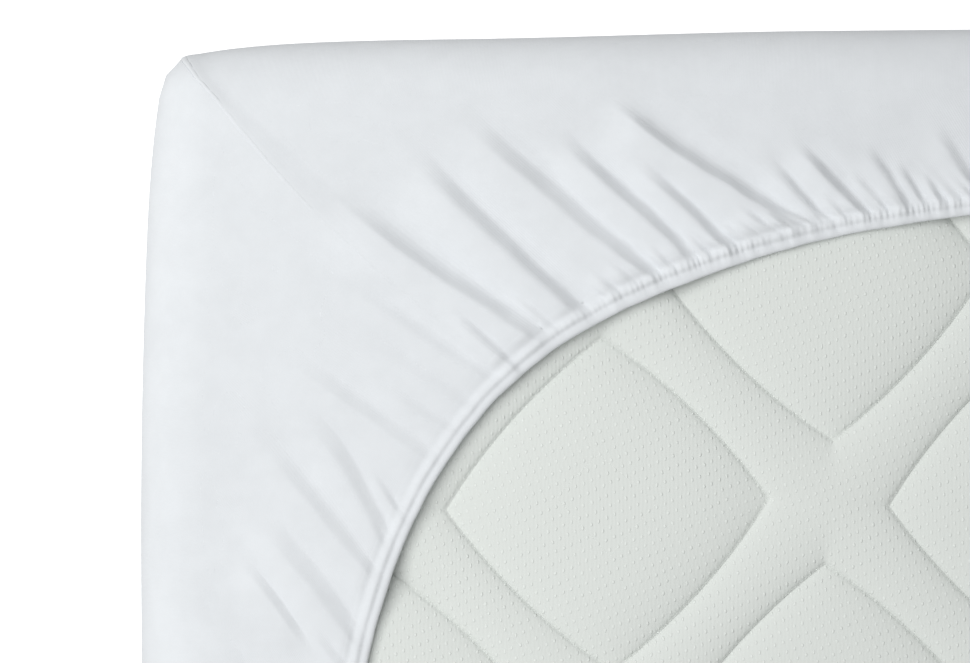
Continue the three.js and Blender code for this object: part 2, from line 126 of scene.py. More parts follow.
# A crest is round for a share of its drop, which goes on to a dip. Flanks widen or narrow from edge to
# hem, a stopped crease fades over a share of its way, and beyond its reach a crease isn't felt.
CREASE_CREST = 0.25
CREASE_DIP = 0.28
CREASE_RECOVERY = 7
CREASE_TAPER = (1.2, 0.85)
CREASE_FADE = 0.18
CREASE_REACH = 2.6

# How far the borders of creases stray, over what distance, and a seed for each direction
CREASE_WANDER = [(0.8, 10, 2, 5), (1.5, 38, 7, 9)]

# The seam at each corner lies on a low ridge, which swells round the edge. It is a strip of this profile:
# distances beside its line and heights over the cloth. It sinks into the cloth at its start, and each end
# is closed over the edges that lie near it.
SEAM = CreaseRow("long", 33.5, 187, -7, -1.2, 1.0, 2.6, 0, 8)
SEAM_SWELL = 1.5
SEAM_WIDE = 3.5
SEAM_WIDENS = 0.4
SEAM_PROFILE = [
    (-1.2, -0.5),
    (-0.8, -0.06),
    (-0.4, 0.03),
    (0, 0.06),
    (0.4, 0.03),
    (0.8, -0.06),
    (1.2, -0.5),
]
SEAM_START = 6
SEAM_SINK = 0.6
SEAM_SINK_STEPS = 9
SEAM_STEPS = {"skirt": 70, "wall": 24}
SEAM_ANGLES = range(84, -1, -6)
SEAM_STEP = 2
SEAM_FACING = 0.55
SEAM_END = 20

# The elastic holds the creases down: their share at the hem's outer line, and where they are free of it.
# Stretched between its edge and its hem, the cloth also stands off the mattress a little.
HELD_DOWN = 0.55
FREE_FROM_HEM = 7
STAND_OFF = 0.6
STANDS_FROM_EDGE = 50

# How the cloth settles between its creases: share, distance and seed. It is free of the edge a little
# way in, and the mattress bears it from below.
SETTLING = [(0.45, 24, 3.1), (0.55, 75, 8.7)]
SETTLES_FROM_EDGE = 12
SKIRT_LOWEST = -0.4
HEM_LOWEST = -0.3

# Softer gathers follow along the long sides, and small ones stand all round the hem.
GATHERS = {
    "first": 440,
    "spacing": 84,
    "unevenness": 26,
    "lean": 26,
    "rise": 2.6,
    "rise_share": 0.3,
    "start": 0.3,
    "full": 0.6,
    "flank": 5,
    "wide": 13,
}
SMALL_GATHERS = {
    "spacing": 8,
    "unevenness": 3,
    "lean": 0.25,
    "rise": 2.4,
    "rise_share": 0.6,
    "reach": 12,
    "reach_share": 0.5,
    "flank": 1.6,
    "wide": 3.4,
    "least": 0.2,
    "stronger_from": 10,
    "stronger_over": 70,
}

# The corners hold the same creases, each moved and raised a little differently. The second one is the
# photographed one.
Corner = namedtuple("Corner", "sign_x sign_y shift rise_share seed")
CORNERS = [
    Corner(1, 1, 1.2, 0.25, 0.31),
    Corner(-1, 1, 0, 0, 0),
    Corner(-1, -1, 1.2, 0.25, 0.57),
    Corner(1, -1, 1.2, 0.25, 0.83),
]
SHOWN_CORNER = CORNERS[1]
CORNER_SEED_STEP = 7

# The hem is a closed curve at which the pulls of the four edges add up to one. Rounds of nearing find it.
HEM_NEAREST_EDGE = 74.1
HEM_CORNER_REACH = 149.4
CORNER_ROUNDS = 40
DISTANCE_ROUNDS = 6

# Beside each corner the hem runs farther in along the long side, a little stretched, and farther out
# along the short end: how far, where, over what distance
HEM_SAG = (2.5, 267, 55)
HEM_STRETCH = 0.6
HEM_STRETCH_OVER = 4
HEM_EASE = (1.4, 180, 110)

# The cloth draws the mattress in near its corners, more along the short ends.
END_DRAW = (13, 62)
SIDE_DRAW = (10, 38)
DRAW_FADE = 200

# Between its corners the mattress swells: outwards, from where, over what distance, and how far inwards
END_SWELL = (1.7, 90, 170)
SIDE_SWELL = (2.4, 160, 180)
SWELL_FADE = 60

# Columns spread out again beyond a corner's arc, whose radius never shrinks to nothing.
CORNER_SPREAD = 90
SMALLEST_RADIUS = 1.5

# The hem's section, by distance from its free edge. It is rolled at that edge, stitched down along a
# groove and flattens on to the cloth. A hump is how high, where and how wide, a fall or sink how far,
# from where and over what distance.
CLOTH_WIDTHS = [18, 16, 14.4, 13, 11.6, 10.4, 9.4]
HEM_WIDTHS = [8.4, 7.4, 6.5, 5.8, 5.2, 4.6, 4.0, 3.4, 2.8, 2.0, 1.2, 0.4, 0]
UNDER_WIDTHS = [0.4, 1.4, 6, 18]
HEM_ROLL = 1.8
HEM_GROOVE = (0.5, 4.0, 1.2)
HEM_RIDGE = (0.35, 6.3, 1.3)
HEM_OVER_CLOTH = 0.2
HEM_FALL = (6.4, 4.4)
HEM_SINK = (0.5, 12, 6)

# The small folds across the hem, its waves, the wobble of its edge and the lap at the corner seam's end
PUCKERS = {
    "least": 0.2,
    "stronger_from": 20,
    "stronger_over": 90,
    "calm": 0.25,
    "patches": 30,
    "patchy": 1.4,
    "stray": 0.6,
    "stray_over": 9,
    "middle": 6.4,
    "wide": 2.6,
}
HEM_WAVES = {"height": 0.35, "over": 4.5, "middle": 7, "wide": 2.8}
HEM_WOBBLE = {"far": 0.35, "over": 12}
SEAM_LAP = {"past": 2.4, "rises_over": 7, "drops_over": 1.2, "middle": 4, "wide": 4.4}
HEM_CREASE_SHARE = 0.2
CREASES_WHOLE_PAST_HEM = 2

# Column spacing along the hem, for the cloth and for the hem's own folds, and the zones beside a corner.
# Outside the shown zone the small gathers are weaker and the hem's folds wider.
CLOTH_SPACING = {"shown": 1.2, "seam": 1.6, "corner": 4.4, "side": 8.5}
HEM_SPACING = {"shown": 0.6, "seam": 1.6, "corner": 1.6, "side": 2.4}
SHOWN_ZONE = (-245, 330)
CORNER_ZONE = (-170, 260)
SEAM_ZONE = (-14, 26)
COARSE_SHARE = 0.25
COARSE_PITCH = 2.5
CLOTH_LAST_STEP = 2
HEM_LAST_STEP = 1

# Rows of the cloth: the skirt's crowd towards the hem, then follow the rounded edge, the wall, the
# rounded base and two rings of the sleeping panel.
SKIRT_ROWS = 27
SKIRT_CROWDING = 1.35
SKIRT_START = 2.4
ROUNDING_ANGLES = [75, 60, 45, 30, 15, 0]
WALL_SHARES = [0.25, 0.5, 0.75]
LOWER_ANGLES = [0, 30, 60, 90]
PANEL_SCALES = [(0.93, 0.86), (0.7, 0.5)]


def smooth(value):
    t = min(max(value, 0.0), 1.0)
    return t * t * (3 - 2 * t)


def ramp(value, start, over):
    return smooth((value - start) / over)


def mix(low, high, share):
    return low + (high - low) * share


def bell(distance, width):
    return math.exp(-((distance / width) ** 2))


def hump(value, high, middle, wide):
    return high * bell(value - middle, wide)


def uneven(index, seed):
    wave = math.sin((index + 1) * 12.9898 + seed * 78.233) * 43758.5453
    return 2 * (wave - math.floor(wave)) - 1


def drift(x, y, scale, seed):
    """Slow unevenness from -1 to 1."""
    return noise.noise(Vector((x / scale, y / scale, seed)))


class PadForm:
    """The pad's and the mattress's sizes in millimetres, and the curves that follow from them."""

    def __init__(self, sizes):
        self.cloth = sizes.cloth / MM
        self.cover = (sizes.cloth + sizes.edge_clearance) / MM
        self.half_length = PAD_HIGH.x / MM
        self.half_width = PAD_HIGH.y / MM
        self.edge_radius = sizes.edge_radius / MM
        self.corner_radius = sizes.corner_radius / MM
        self.mattress_base = (sizes.cloth + sizes.lower_gap) / MM
        self.mattress_top = self.mattress_base + sizes.mattress_thickness / MM
        self.underside = self.mattress_top + sizes.upper_gap / MM
        self.skirt_top = self.underside + self.cloth
        self.hem_width = sizes.hem_width / MM
        self.hem_thickness = sizes.hem_thickness / MM
        self.pucker_pitch = sizes.pucker_pitch / MM
        self.pucker_height = sizes.pucker_height / MM
        self.unevenness = sizes.unevenness / MM
        self.hem_corner = self.find_hem_corner()
        self.longest = self.half_length - self.hem_corner
        self.shortest = self.hem_corner - self.half_width

    def find_hem_corner(self):
        corner = 2 * HEM_NEAREST_EDGE
        for _ in range(CORNER_ROUNDS):
            corner = (corner + self.hem_distance(corner, self.half_length, self.half_width)) / 2
        return corner

    def hem_distance(self, along, half_along, half_across):
        across = HEM_NEAREST_EDGE
        for _ in range(DISTANCE_ROUNDS):
            others = pull(along) + pull(2 * half_along - along) + pull(2 * half_across - across)
            across = HEM_NEAREST_EDGE - HEM_CORNER_REACH * math.log(1 - others)
        return across

    def hem_point(self, station):
        along = self.hem_corner + abs(station)
        if station >= 0:
            return Vector((along, self.hem_distance(along, self.half_length, self.half_width)))
        return Vector((self.hem_distance(along, self.half_width, self.half_length), along))

    def hem_outward(self, point):
        to_end = pull(point.x) - pull(2 * self.half_length - point.x)
        to_side = pull(point.y) - pull(2 * self.half_width - point.y)
        return Vector((-to_end, -to_side)).normalized()

    def edge_point(self, station):
        along = self.edge_radius + abs(station)
        if station >= 0:
            return Vector((along, self.edge_radius))
        return Vector((self.edge_radius, along))

    def ring_point(self, station, inset):
        """Where a station of the edge lies on the outline moved inwards, round its corner's arc."""
        radius = max(self.corner_radius - inset, SMALLEST_RADIUS)
        half_arc = radius * math.pi / 4
        centre = inset + radius
        spare = self.edge_radius - centre + half_arc
        run = abs(station) + spare * (1 - math.exp(-abs(station) / CORNER_SPREAD))
        if run < half_arc:
            angle = math.pi / 4 + run / radius
            point = (centre - radius * math.cos(angle), centre - radius * math.sin(angle))
        else:
            point = (centre + run - half_arc, inset)
        return Vector(point if station >= 0 else (point[1], point[0]))

    def drawn_in(self, x, y):
        """Where a point of the plan comes to lie under the pull of the cloth."""
        from_end = max(self.half_length - abs(x), 0)
        from_side = max(self.half_width - abs(y), 0)
        end = inward_shift(END_DRAW, END_SWELL, from_end, from_side)
        side = inward_shift(SIDE_DRAW, SIDE_SWELL, from_side, from_end)
        return x - end * math.copysign(1, x), y - side * math.copysign(1, y)

    def placed(self, corner, point, height):
        x = corner.sign_x * (self.half_length - point.x)
        y = corner.sign_y * (self.half_width - point.y)
        return Vector((*self.drawn_in(x, y), height))


def pull(distance):
    return math.exp(-(distance - HEM_NEAREST_EDGE) / HEM_CORNER_REACH)


def inward_shift(draw, swell, from_own, from_other):
    """How far a side moves in: drawn in beside the corners and swollen between them."""
    shift = draw[0] * math.exp(-from_other / draw[1]) * smooth(1 - from_own / DRAW_FADE)
    return shift - swell[0] * ramp(from_other, *swell[1:]) * smooth(1 - from_own / SWELL_FADE)


def rounding(angle, inset, radius, level, upwards):
    """How far in from the outline, and how high, an angle of a rounded edge lies."""
    turn = math.radians(angle)
    return inset + radius * (1 - math.cos(turn)), level - upwards * radius * (1 - math.sin(turn))


def freed(from_hem_line):
    """The share that the elastic leaves of whatever rises from the skirt."""
    return mix(HELD_DOWN, 1, smooth(from_hem_line / FREE_FROM_HEM))


def crest_drop(turn):
    """How far a crease has dropped over its flank, from its rounded crest to its foot."""
    drop = turn * turn / (2 * CREASE_CREST) if turn < CREASE_CREST else turn - CREASE_CREST / 2
    return drop / (1 - CREASE_CREST / 2)


class Crease:
    """One crease laid from the rounded edge to the hem."""

    def __init__(self, form, row, index, corner):
        signed = 1 if row.side == "long" else -1
        shift = corner.shift * uneven(index, corner.seed)
        self.row = row
        self.hem_station = signed * (row.hem - form.hem_corner) + shift
        self.edge_station = signed * (row.edge - form.edge_radius)
        self.start = form.edge_point(self.edge_station)
        end = form.hem_point(self.hem_station)
        end += form.hem_outward(end) * form.hem_width
        run = end - self.start
        self.length = run.length
        self.direction = run / self.length
        self.normal = Vector((self.direction.y, -self.direction.x))
        self.rise = row.rise * (1 + corner.rise_share * uneven(index + 40, corner.seed))

    def place(self, point):
        offset = point - self.start
        along = offset.dot(self.direction) / self.length
        bow = self.row.bow * math.sin(math.pi * min(max(along, 0), 1))
        return along, offset.dot(self.normal) - bow

    def height(self, point):
        row = self.row
        along, across = self.place(point)
        size = self.rise * ramp(along, row.start, row.full - row.start)
        size *= 1 - ramp(along, row.stop, CREASE_FADE)
        if row is SEAM:
            return size * bell(across, mix(SEAM_WIDE, row.wide, smooth(along / SEAM_WIDENS)))
        flank = row.flank * mix(*CREASE_TAPER, min(max(along, 0), 1))
        if across < -flank:
            return size * bell(across + flank, row.wide)
        if across > flank:
            return -size * CREASE_DIP * bell(across - flank, CREASE_RECOVERY)
        return size * (1 - (1 + CREASE_DIP) * crest_drop((across + flank) / (2 * flank)))


def gather_rows(form):
    """Soft gathers along the long side, from the last crease to the middle of the side."""
    rules = GATHERS
    rows = []
    while True:
        index = len(rows)
        hem = rules["first"] + index * rules["spacing"] + rules["unevenness"] * uneven(index, 0.5)
        if hem > form.half_length - rules["spacing"] / 2:
            return rows
        nearness = 1 - (hem - rules["first"]) / (form.half_length - rules["first"])
        rise = rules["rise"] * (1 + rules["rise_share"] * uneven(index, 0.9))
        edge = hem - rules["lean"] * nearness
        shape = (rules["start"], rules["full"], rise, rules["flank"], rules["wide"])
        rows.append(CreaseRow("long", edge, hem, 0, *shape))


def laid_creases(form, corner, index):
    rows = [*CREASES, SEAM, *gather_rows(form)]
    first = CORNER_SEED_STEP * index
    return [Crease(form, row, first + number, corner) for number, row in enumerate(rows)]


class Column:
    """One line of the skirt from the hem to the rounded edge, which follows the creases beside it."""

    def __init__(self, form, corner, creases, knots, station):
        self.corner = corner
        self.station = station
        at = next((n for n in range(1, len(knots)) if knots[n][0] >= station), len(knots) - 1)
        low, high = knots[at - 1], knots[at]
        share = (station - low[0]) / (high[0] - low[0])
        self.edge_station = mix(low[1], high[1], share)
        self.bow = mix(low[2], high[2], share)
        self.hem = form.hem_point(station)
        self.outward = form.hem_outward(self.hem)
        along = form.hem_corner + abs(station)
        sag = hump(along, *HEM_SAG) if station > 0 else 0
        ease = HEM_EASE[0] * ramp(along, *HEM_EASE[1:]) if station < 0 else 0
        self.hem += self.outward * (ease - sag)
        self.stretch = HEM_STRETCH * sag
        self.edge = form.edge_point(self.edge_station)
        self.run = self.hem + self.outward * (form.hem_width + self.stretch) - self.edge
        self.length = self.run.length
        self.normal = Vector((self.run.y, -self.run.x)).normalized()
        self.creases = [crease for crease in creases if self.meets(crease)]
        self.form = form
        self.arc = 0
        self.shown = corner is SHOWN_CORNER and SHOWN_ZONE[0] < station < SHOWN_ZONE[1]

    def meets(self, crease):
        reach = crease.row.flank + CREASE_REACH * crease.row.wide + abs(crease.row.bow) + abs(self.bow)
        low = min(crease.hem_station, crease.edge_station) - reach
        high = max(crease.hem_station, crease.edge_station) + reach
        span = sorted((self.station, self.edge_station))
        return span[0] < high and span[1] > low

    def point(self, from_hem_line):
        share = 1 - from_hem_line / self.length
        bow = self.bow * math.sin(math.pi * share)
        return self.edge + self.run * share + self.normal * bow

    def hem_row(self, from_edge):
        stretch = self.stretch * smooth(from_edge / HEM_STRETCH_OVER)
        return self.hem + self.outward * (from_edge + stretch)

    def crease_height(self, point, from_hem_line):
        """Height of the creases, whose borders wander a little."""
        wander = Vector((0, 0))
        for far, over, *seeds in CREASE_WANDER:
            stray = [drift(point.x, point.y, over, self.corner.seed + seed) for seed in seeds]
            wander += Vector(stray) * far
        total = sum(crease.height(point + wander) for crease in self.creases)
        return total * freed(from_hem_line)

    def small_height(self, from_hem_line):
        """Small gathers beside the hem, which fade with their distance from it."""
        rules = SMALL_GATHERS
        total = 0
        first = math.floor(self.arc / rules["spacing"]) - 1
        for number in range(first, first + 4):
            middle = number * rules["spacing"] + rules["unevenness"] * uneven(number, 0.2)
            reach = rules["reach"] * (1 + rules["reach_share"] * uneven(number, 0.6))
            rise = rules["rise"] * (rules["rise_share"] + rules["rise_share"] * uneven(number, 0.4))
            across = self.arc - middle - rules["lean"] * from_hem_line
            side = rules["wide"] if across < 0 else rules["flank"]
            total += max(rise, 0) * bell(across, side) * bell(max(from_hem_line, 0), reach)
        share = 1 if self.shown else COARSE_SHARE
        strength = ramp(self.station, rules["stronger_from"], rules["stronger_over"])
        return total * share * mix(rules["least"], 1, strength)

    def lift(self, from_hem_line):
        """How far the stretched cloth stands off the mattress between its edge and its hem."""
        from_edge = self.length - from_hem_line
        return STAND_OFF * smooth(from_edge / STANDS_FROM_EDGE) * freed(from_hem_line)

    def settling(self, x, y):
        total = sum(share * drift(x, y, over, seed) for share, over, seed in SETTLING)
        return self.form.unevenness * total

    def skirt_point(self, from_hem_line, aside=0):
        """A point of the skirt's outer face, on this line or beside it."""
        point = self.point(from_hem_line) + self.normal * aside
        raised = self.crease_height(point, from_hem_line) + self.small_height(from_hem_line)
        raised += self.lift(from_hem_line)
        free_of_edge = smooth((self.length - from_hem_line) / SETTLES_FROM_EDGE)
        placed = self.form.placed(self.corner, point, self.form.skirt_top)
        raised += free_of_edge * self.settling(placed.x, placed.y)
        placed.z += max(raised, SKIRT_LOWEST)
        return placed


def spaced_stations(form, corner, spacing):
    """Stations of one corner's columns, closer together where there are more folds."""
    stations = [form.shortest]
    while stations[-1] < form.longest:
        last = stations[-1]
        if corner is SHOWN_CORNER and SHOWN_ZONE[0] < last < SHOWN_ZONE[1]:
            step = spacing["shown"]
        elif SEAM_ZONE[0] < last < SEAM_ZONE[1]:
            step = spacing["seam"]
        elif CORNER_ZONE[0] < last < CORNER_ZONE[1]:
            step = spacing["corner"]
        else:
            step = spacing["side"]
        stations.append(last + step)
    stations[-1] = form.longest
    return stations


def laid_knots(form, creases):
    """Stations at the hem and at the edge, and bows, which creases and the sides' middles give columns."""
    knots = [(crease.hem_station, crease.edge_station, crease.row.bow) for crease in creases]
    knots.append((form.shortest, form.edge_radius - form.half_width, 0))
    knots.append((form.longest, form.half_length - form.edge_radius, 0))
    return sorted(knots)


def laid_columns(form, spacing):
    """Columns all round the pad, anticlockwise from the middle of one short end."""
    columns = []
    for index, corner in enumerate(CORNERS):
        creases = laid_creases(form, corner, index)
        knots = laid_knots(form, creases)
        stations = spaced_stations(form, corner, spacing)
        found = [Column(form, corner, creases, knots, station) for station in stations]
        if corner.sign_x * corner.sign_y < 0:
            found.reverse()
        columns += found[:-1]
    before = None
    arc = 0
    for column in columns:
        here = form.placed(column.corner, column.hem, 0)
        arc += (here - before).length if before else 0
        column.arc = arc
        before = here
    return columns


# Meshes

def shaped_grid(name, wide, high, place, unwrap):
    """A grid of wide by high points, each placed by its column and row, closed where its ends meet."""
    bm = bmesh.new()
    bmesh.ops.create_grid(bm, x_segments=wide - 1, y_segments=high - 1, size=0.5)
    uv_layer = bm.loops.layers.uv.new("cut")
    indices = {}
    for vertex in bm.verts:
        column = round((vertex.co.x + 0.5) * (wide - 1))
        row = round((vertex.co.y + 0.5) * (high - 1))
        indices[vertex] = (column, row)
    for face in bm.faces:
        for loop in face.loops:
            loop[uv_layer].uv = unwrap(*indices[loop.vert])
    for vertex, (column, row) in indices.items():
        vertex.co = place(column, row) * MM
    bmesh.ops.remove_doubles(bm, verts=bm.verts, dist=1e-7)
    return bm


def faces_up(bm, face):
    """Turns every face over if this one, which belongs on top, looks down."""
    bmesh.ops.recalc_face_normals(bm, faces=bm.faces)
    face.normal_update()
    if face.normal.z < 0:
        bmesh.ops.reverse_faces(bm, faces=bm.faces)


def finished(bm, name, material):
    """Makes the mesh an object that rides on the pad's body."""
    for face in bm.faces:
        face.smooth = True
    mesh = bpy.data.meshes.new(name)
    bm.to_mesh(mesh)
    bm.free()
    mesh.materials.append(material)
    piece = bpy.data.objects.new(name, mesh)
    bpy.context.scene.collection.objects.link(piece)
    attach(piece, "root")
    return piece


def thickened(piece, thickness):
    wall = piece.modifiers.new("cloth thickness", "SOLIDIFY")
    wall.thickness = thickness
    wall.offset = -1
    wall.use_quality_normals = True


def upper_point(form, column, angle, aside=0):
    """A point of the rounded upper edge, which stands prouder at the corner's seam."""
    inset, height = rounding(angle, 0, form.edge_radius, form.skirt_top, 1)
    station = column.edge_station + aside
    turn = math.radians(angle)
    swell = SEAM_SWELL * bell(station - (SEAM.edge - form.edge_radius), SEAM_WIDE)
    point = form.ring_point(station, inset) - Vector((swell, swell)) * math.cos(turn) / 2
    return form.placed(column.corner, point, height + swell * math.sin(turn))


def lower_point(form, column, angle, aside=0):
    """A point of the rounding at the base."""
    inset, height = rounding(angle, 0, form.corner_radius, 0, -1)
    return form.placed(column.corner, form.ring_point(column.edge_station + aside, inset), height)


def cloth_rows(form):
    """The rows of the pad's cloth from the hem to the sleeping panel, each a function of a column."""
    rows = []

    def skirt(step):
        crowded = (step / SKIRT_ROWS) ** SKIRT_CROWDING
        return lambda c: c.skirt_point(mix(SKIRT_START, c.length, crowded))

    def upper(angle):
        return lambda c: upper_point(form, c, angle)

    def lower(angle):
        return lambda c: lower_point(form, c, angle)

    def between(share):
        return lambda c: upper_point(form, c, 0).lerp(lower_point(form, c, 0), share)

    def panel(scale):
        return lambda c: Vector((lower(90)(c).x * scale[0], lower(90)(c).y * scale[1], 0))

    rows += [skirt(step) for step in range(SKIRT_ROWS + 1)]
    rows += [upper(angle) for angle in ROUNDING_ANGLES]
    rows += [between(share) for share in WALL_SHARES]
    rows += [lower(angle) for angle in LOWER_ANGLES]
    rows += [panel(scale) for scale in PANEL_SCALES]
    return rows


def turn_at(columns, column, last_step):
    """How far round the pad a column of a grid lies, of which the last closes the ring."""
    return columns[-1].arc + last_step if column == len(columns) else columns[column].arc


def cloth_mesh(form, columns):
    rows = cloth_rows(form)
    points = [[row(column) for row in rows] for column in columns]
    lengths = []
    for line in points:
        steps = [0.0]
        for before, here in zip(line, line[1:]):
            steps.append(steps[-1] + (here - before).length)
        lengths.append(steps)
    count = len(columns)

    def place(column, row):
        return points[column % count][row]

    def unwrap(column, row):
        return turn_at(columns, column, CLOTH_LAST_STEP) * MM, lengths[column % count][row] * MM

    bm = shaped_grid("fitted_pad", count + 1, len(rows), place, unwrap)
    bm.faces.ensure_lookup_table()
    top = max(bm.faces, key=lambda face: face.calc_center_median().z)
    rim = [edge for edge in bm.edges if edge.is_boundary and edge.verts[0].co.z < MM]
    bmesh.ops.edgeloop_fill(bm, edges=rim)
    faces_up(bm, top)
    return bm


def hem_section(form):
    """The hem's cross-section: distance from its free edge, height over its underside, and outer or not."""
    half = form.hem_thickness / 2
    outer = [(width, hem_top(form, width, half), True) for width in CLOTH_WIDTHS + HEM_WIDTHS]
    return outer + [(width, half - half * rolled(width), False) for width in UNDER_WIDTHS]


def rolled(width):
    """The round of the rolled edge: none at the edge itself, and whole past the roll."""
    return math.sqrt(1 - max((HEM_ROLL - width) / HEM_ROLL, 0) ** 2)


def hem_top(form, width, half):
    if width < HEM_ROLL:
        return half + half * rolled(width)
    plateau = mix(form.hem_thickness, form.cloth + HEM_OVER_CLOTH, ramp(width, *HEM_FALL))
    sink = HEM_SINK[0] * ramp(width, *HEM_SINK[1:])
    return plateau + hump(width, *HEM_RIDGE) - hump(width, *HEM_GROOVE) - sink


def crease_share(form, width):
    """How much of the skirt's creases is left at a distance from the free edge."""
    return mix(HEM_CREASE_SHARE, 1, smooth(width / (form.hem_width + CREASES_WHOLE_PAST_HEM)))


def pucker(form, column, width):
    """Small folds across the stitched line of the hem, stronger along the long side."""
    rules = PUCKERS
    weight = mix(rules["least"], 1, ramp(column.station, rules["stronger_from"], rules["stronger_over"]))
    patch = 0.5 + rules["patchy"] * drift(column.arc, 0, rules["patches"], 1.7)
    weight *= mix(rules["calm"], 1, smooth(patch))
    pitch = form.pucker_pitch * (1 if column.shown else COARSE_PITCH)
    stray = rules["stray"] * drift(column.arc, 4, rules["stray_over"], 5.2)
    wave = math.cos(2 * math.pi * (column.arc / pitch + stray))
    return hump(width, form.pucker_height * weight * wave, rules["middle"], rules["wide"])


def seam_join(column, width):
    """The lap at the corner seam's end: a bump that drops sharply towards the long side."""
    run = column.station - (SEAM.hem - column.form.hem_corner) - SEAM_LAP["past"]
    rise = bell(run, SEAM_LAP["rises_over"] if run < 0 else SEAM_LAP["drops_over"])
    return hump(width, rise, SEAM_LAP["middle"], SEAM_LAP["wide"])


def hem_surface(form, column, width, height, outer):
    """A point of the hem's surface, which carries on the skirt's folds and has small ones of its own."""
    from_line = width - form.hem_width
    beside = max(from_line, 0)
    if from_line > 0:
        plan = column.point(from_line)
    else:
        plan = column.hem_row(width + HEM_WOBBLE["far"] * drift(column.arc, 9, HEM_WOBBLE["over"], 2.3))
    share = crease_share(form, width)
    folds = column.crease_height(plan, beside) + column.small_height(beside) + column.lift(beside)
    raised = share * folds
    placed = form.placed(column.corner, plan, form.underside + height)
    raised += share * max(column.settling(placed.x, placed.y), HEM_LOWEST)
    if outer:
        raised += pucker(form, column, width) + seam_join(column, width)
        wave = HEM_WAVES["height"] * drift(column.arc, width, HEM_WAVES["over"], 4.1)
        raised += hump(width, wave, HEM_WAVES["middle"], HEM_WAVES["wide"])
    placed.z += raised
    return placed


def hem_mesh(form, columns):
    section = hem_section(form)
    count = len(columns)
    around = len(section)

    def place(column, row):
        return hem_surface(form, columns[column % count], *section[row % around])

    def unwrap(column, row):
        return turn_at(columns, column, HEM_LAST_STEP) * MM, row * MM

    bm = shaped_grid("hem", count + 1, around + 1, place, unwrap)
    bm.faces.ensure_lookup_table()
    faces_up(bm, max(bm.faces, key=lambda face: face.calc_center_median().z))
    return bm


def seam_column(form, corner, index):
    """The line of the skirt that a corner's seam takes."""
    creases = laid_creases(form, corner, index)
    seam = next(crease for crease in creases if crease.row is SEAM)
    return Column(form, corner, creases, laid_knots(form, [seam]), seam.hem_station)


def seam_line(form, column, aside):
    """Points along or beside a corner seam on the cloth's outer face, each with its outward direction."""
    line = []
    for step in range(SEAM_STEPS["skirt"] + 1):
        from_hem_line = mix(SEAM_START, column.length, step / SEAM_STEPS["skirt"])
        sunk = Vector((0, 0, SEAM_SINK * (1 - smooth(step / SEAM_SINK_STEPS))))
        line.append((column.skirt_point(from_hem_line, aside) - sunk, Vector((0, 0, 1))))
    corner_out = Vector((column.corner.sign_x * SEAM_FACING, column.corner.sign_y, 0)).normalized()
    for angle in SEAM_ANGLES:
        turn = math.radians(angle)
        out = corner_out * math.cos(turn) + Vector((0, 0, math.sin(turn)))
        line.append((upper_point(form, column, angle, aside), out))
    foot = lower_point(form, column, 0, aside)
    head = line[-1][0]
    for step in range(1, SEAM_STEPS["wall"] + 1):
        line.append((head.lerp(foot, step / SEAM_STEPS["wall"]), corner_out))
    return line


def seam_mesh(form, corner, index):
    """A corner's seam as a closed strip, whose ends lie in the hem and at the base."""
    seam = seam_column(form, corner, index)
    lines = [seam_line(form, seam, aside) for aside, _ in SEAM_PROFILE]
    middle = lines[len(lines) // 2]
    count = len(middle)

    def place(column, row):
        point, out = lines[row % len(lines)][column]
        return point + out * SEAM_PROFILE[row % len(lines)][1]

    def unwrap(column, row):
        return column * SEAM_STEP * MM, row * MM

    bm = shaped_grid("corner_seam", count, len(lines) + 1, place, unwrap)
    for column in (0, count - 1):
        ends = [edge for edge in bm.edges if edge.is_boundary]
        near = middle[column][0] * MM
        loop = [edge for edge in ends if (edge.verts[0].co - near).length < SEAM_END * MM]
        bmesh.ops.edgeloop_fill(bm, edges=loop)
    bm.faces.ensure_lookup_table()
    faces_up(bm, max(bm.faces, key=lambda face: face.normal.z * face.calc_center_median().z))
    return bm


# Quilted mattress

# The ticking's cells, and where one of them lies. Seams stand at a share of a cell, bow outwards along
# a diamond's sides and turn a little. Steps of the grid crowd where the seams are.
QUILT = {
    "pitch_x": 222,
    "pitch_y": 229,
    "first_p": 233,
    "first_q": 234.3,
    "seam_at": 0.73,
    "side_bow": 0.07,
    "turn": math.radians(1.6),
    "plain_border": 60,
    "border_blend": 14,
    "soft_over": 60,
}
INNER_STEPS = [0, 0.16, 0.31, 0.44, 0.54, 0.61, 0.655, 0.685, 0.705, 0.72]
OUTER_STEPS = [0.73, 0.742, 0.76, 0.79, 0.84, 0.91]
MATTRESS_LOWER_ANGLES = [0, 45, 90]


def quilt_steps():
    half = [*INNER_STEPS, *OUTER_STEPS]
    return [-1, *[-step for step in reversed(half[1:])], *half]


def quilt_spread(along, across):
    seam = QUILT["seam_at"]
    edge = seam + QUILT["side_bow"] * max(0, 1 - (across / seam) ** 2)
    size = abs(along)
    if size <= seam:
        spread = size / seam * edge
    else:
        spread = edge + (size - seam) / (1 - seam) * (1 - edge)
    return math.copysign(spread, along)


def quilt_rise(sizes, along, across):
    """Height of the padding over its seams: a full diamond inside them and a softer band between."""
    seam = QUILT["seam_at"]
    a = abs(along) / seam
    b = abs(across) / seam
    if a <= 1 and b <= 1:
        return sizes.seam_depth / MM * ((1 - a**3) * (1 - b**3)) ** 0.5
    outside = (max(a, b) - 1) * seam / (1 - seam)
    return sizes.band_rise / MM * math.sqrt(max(1 - (1 - outside) ** 2, 0))


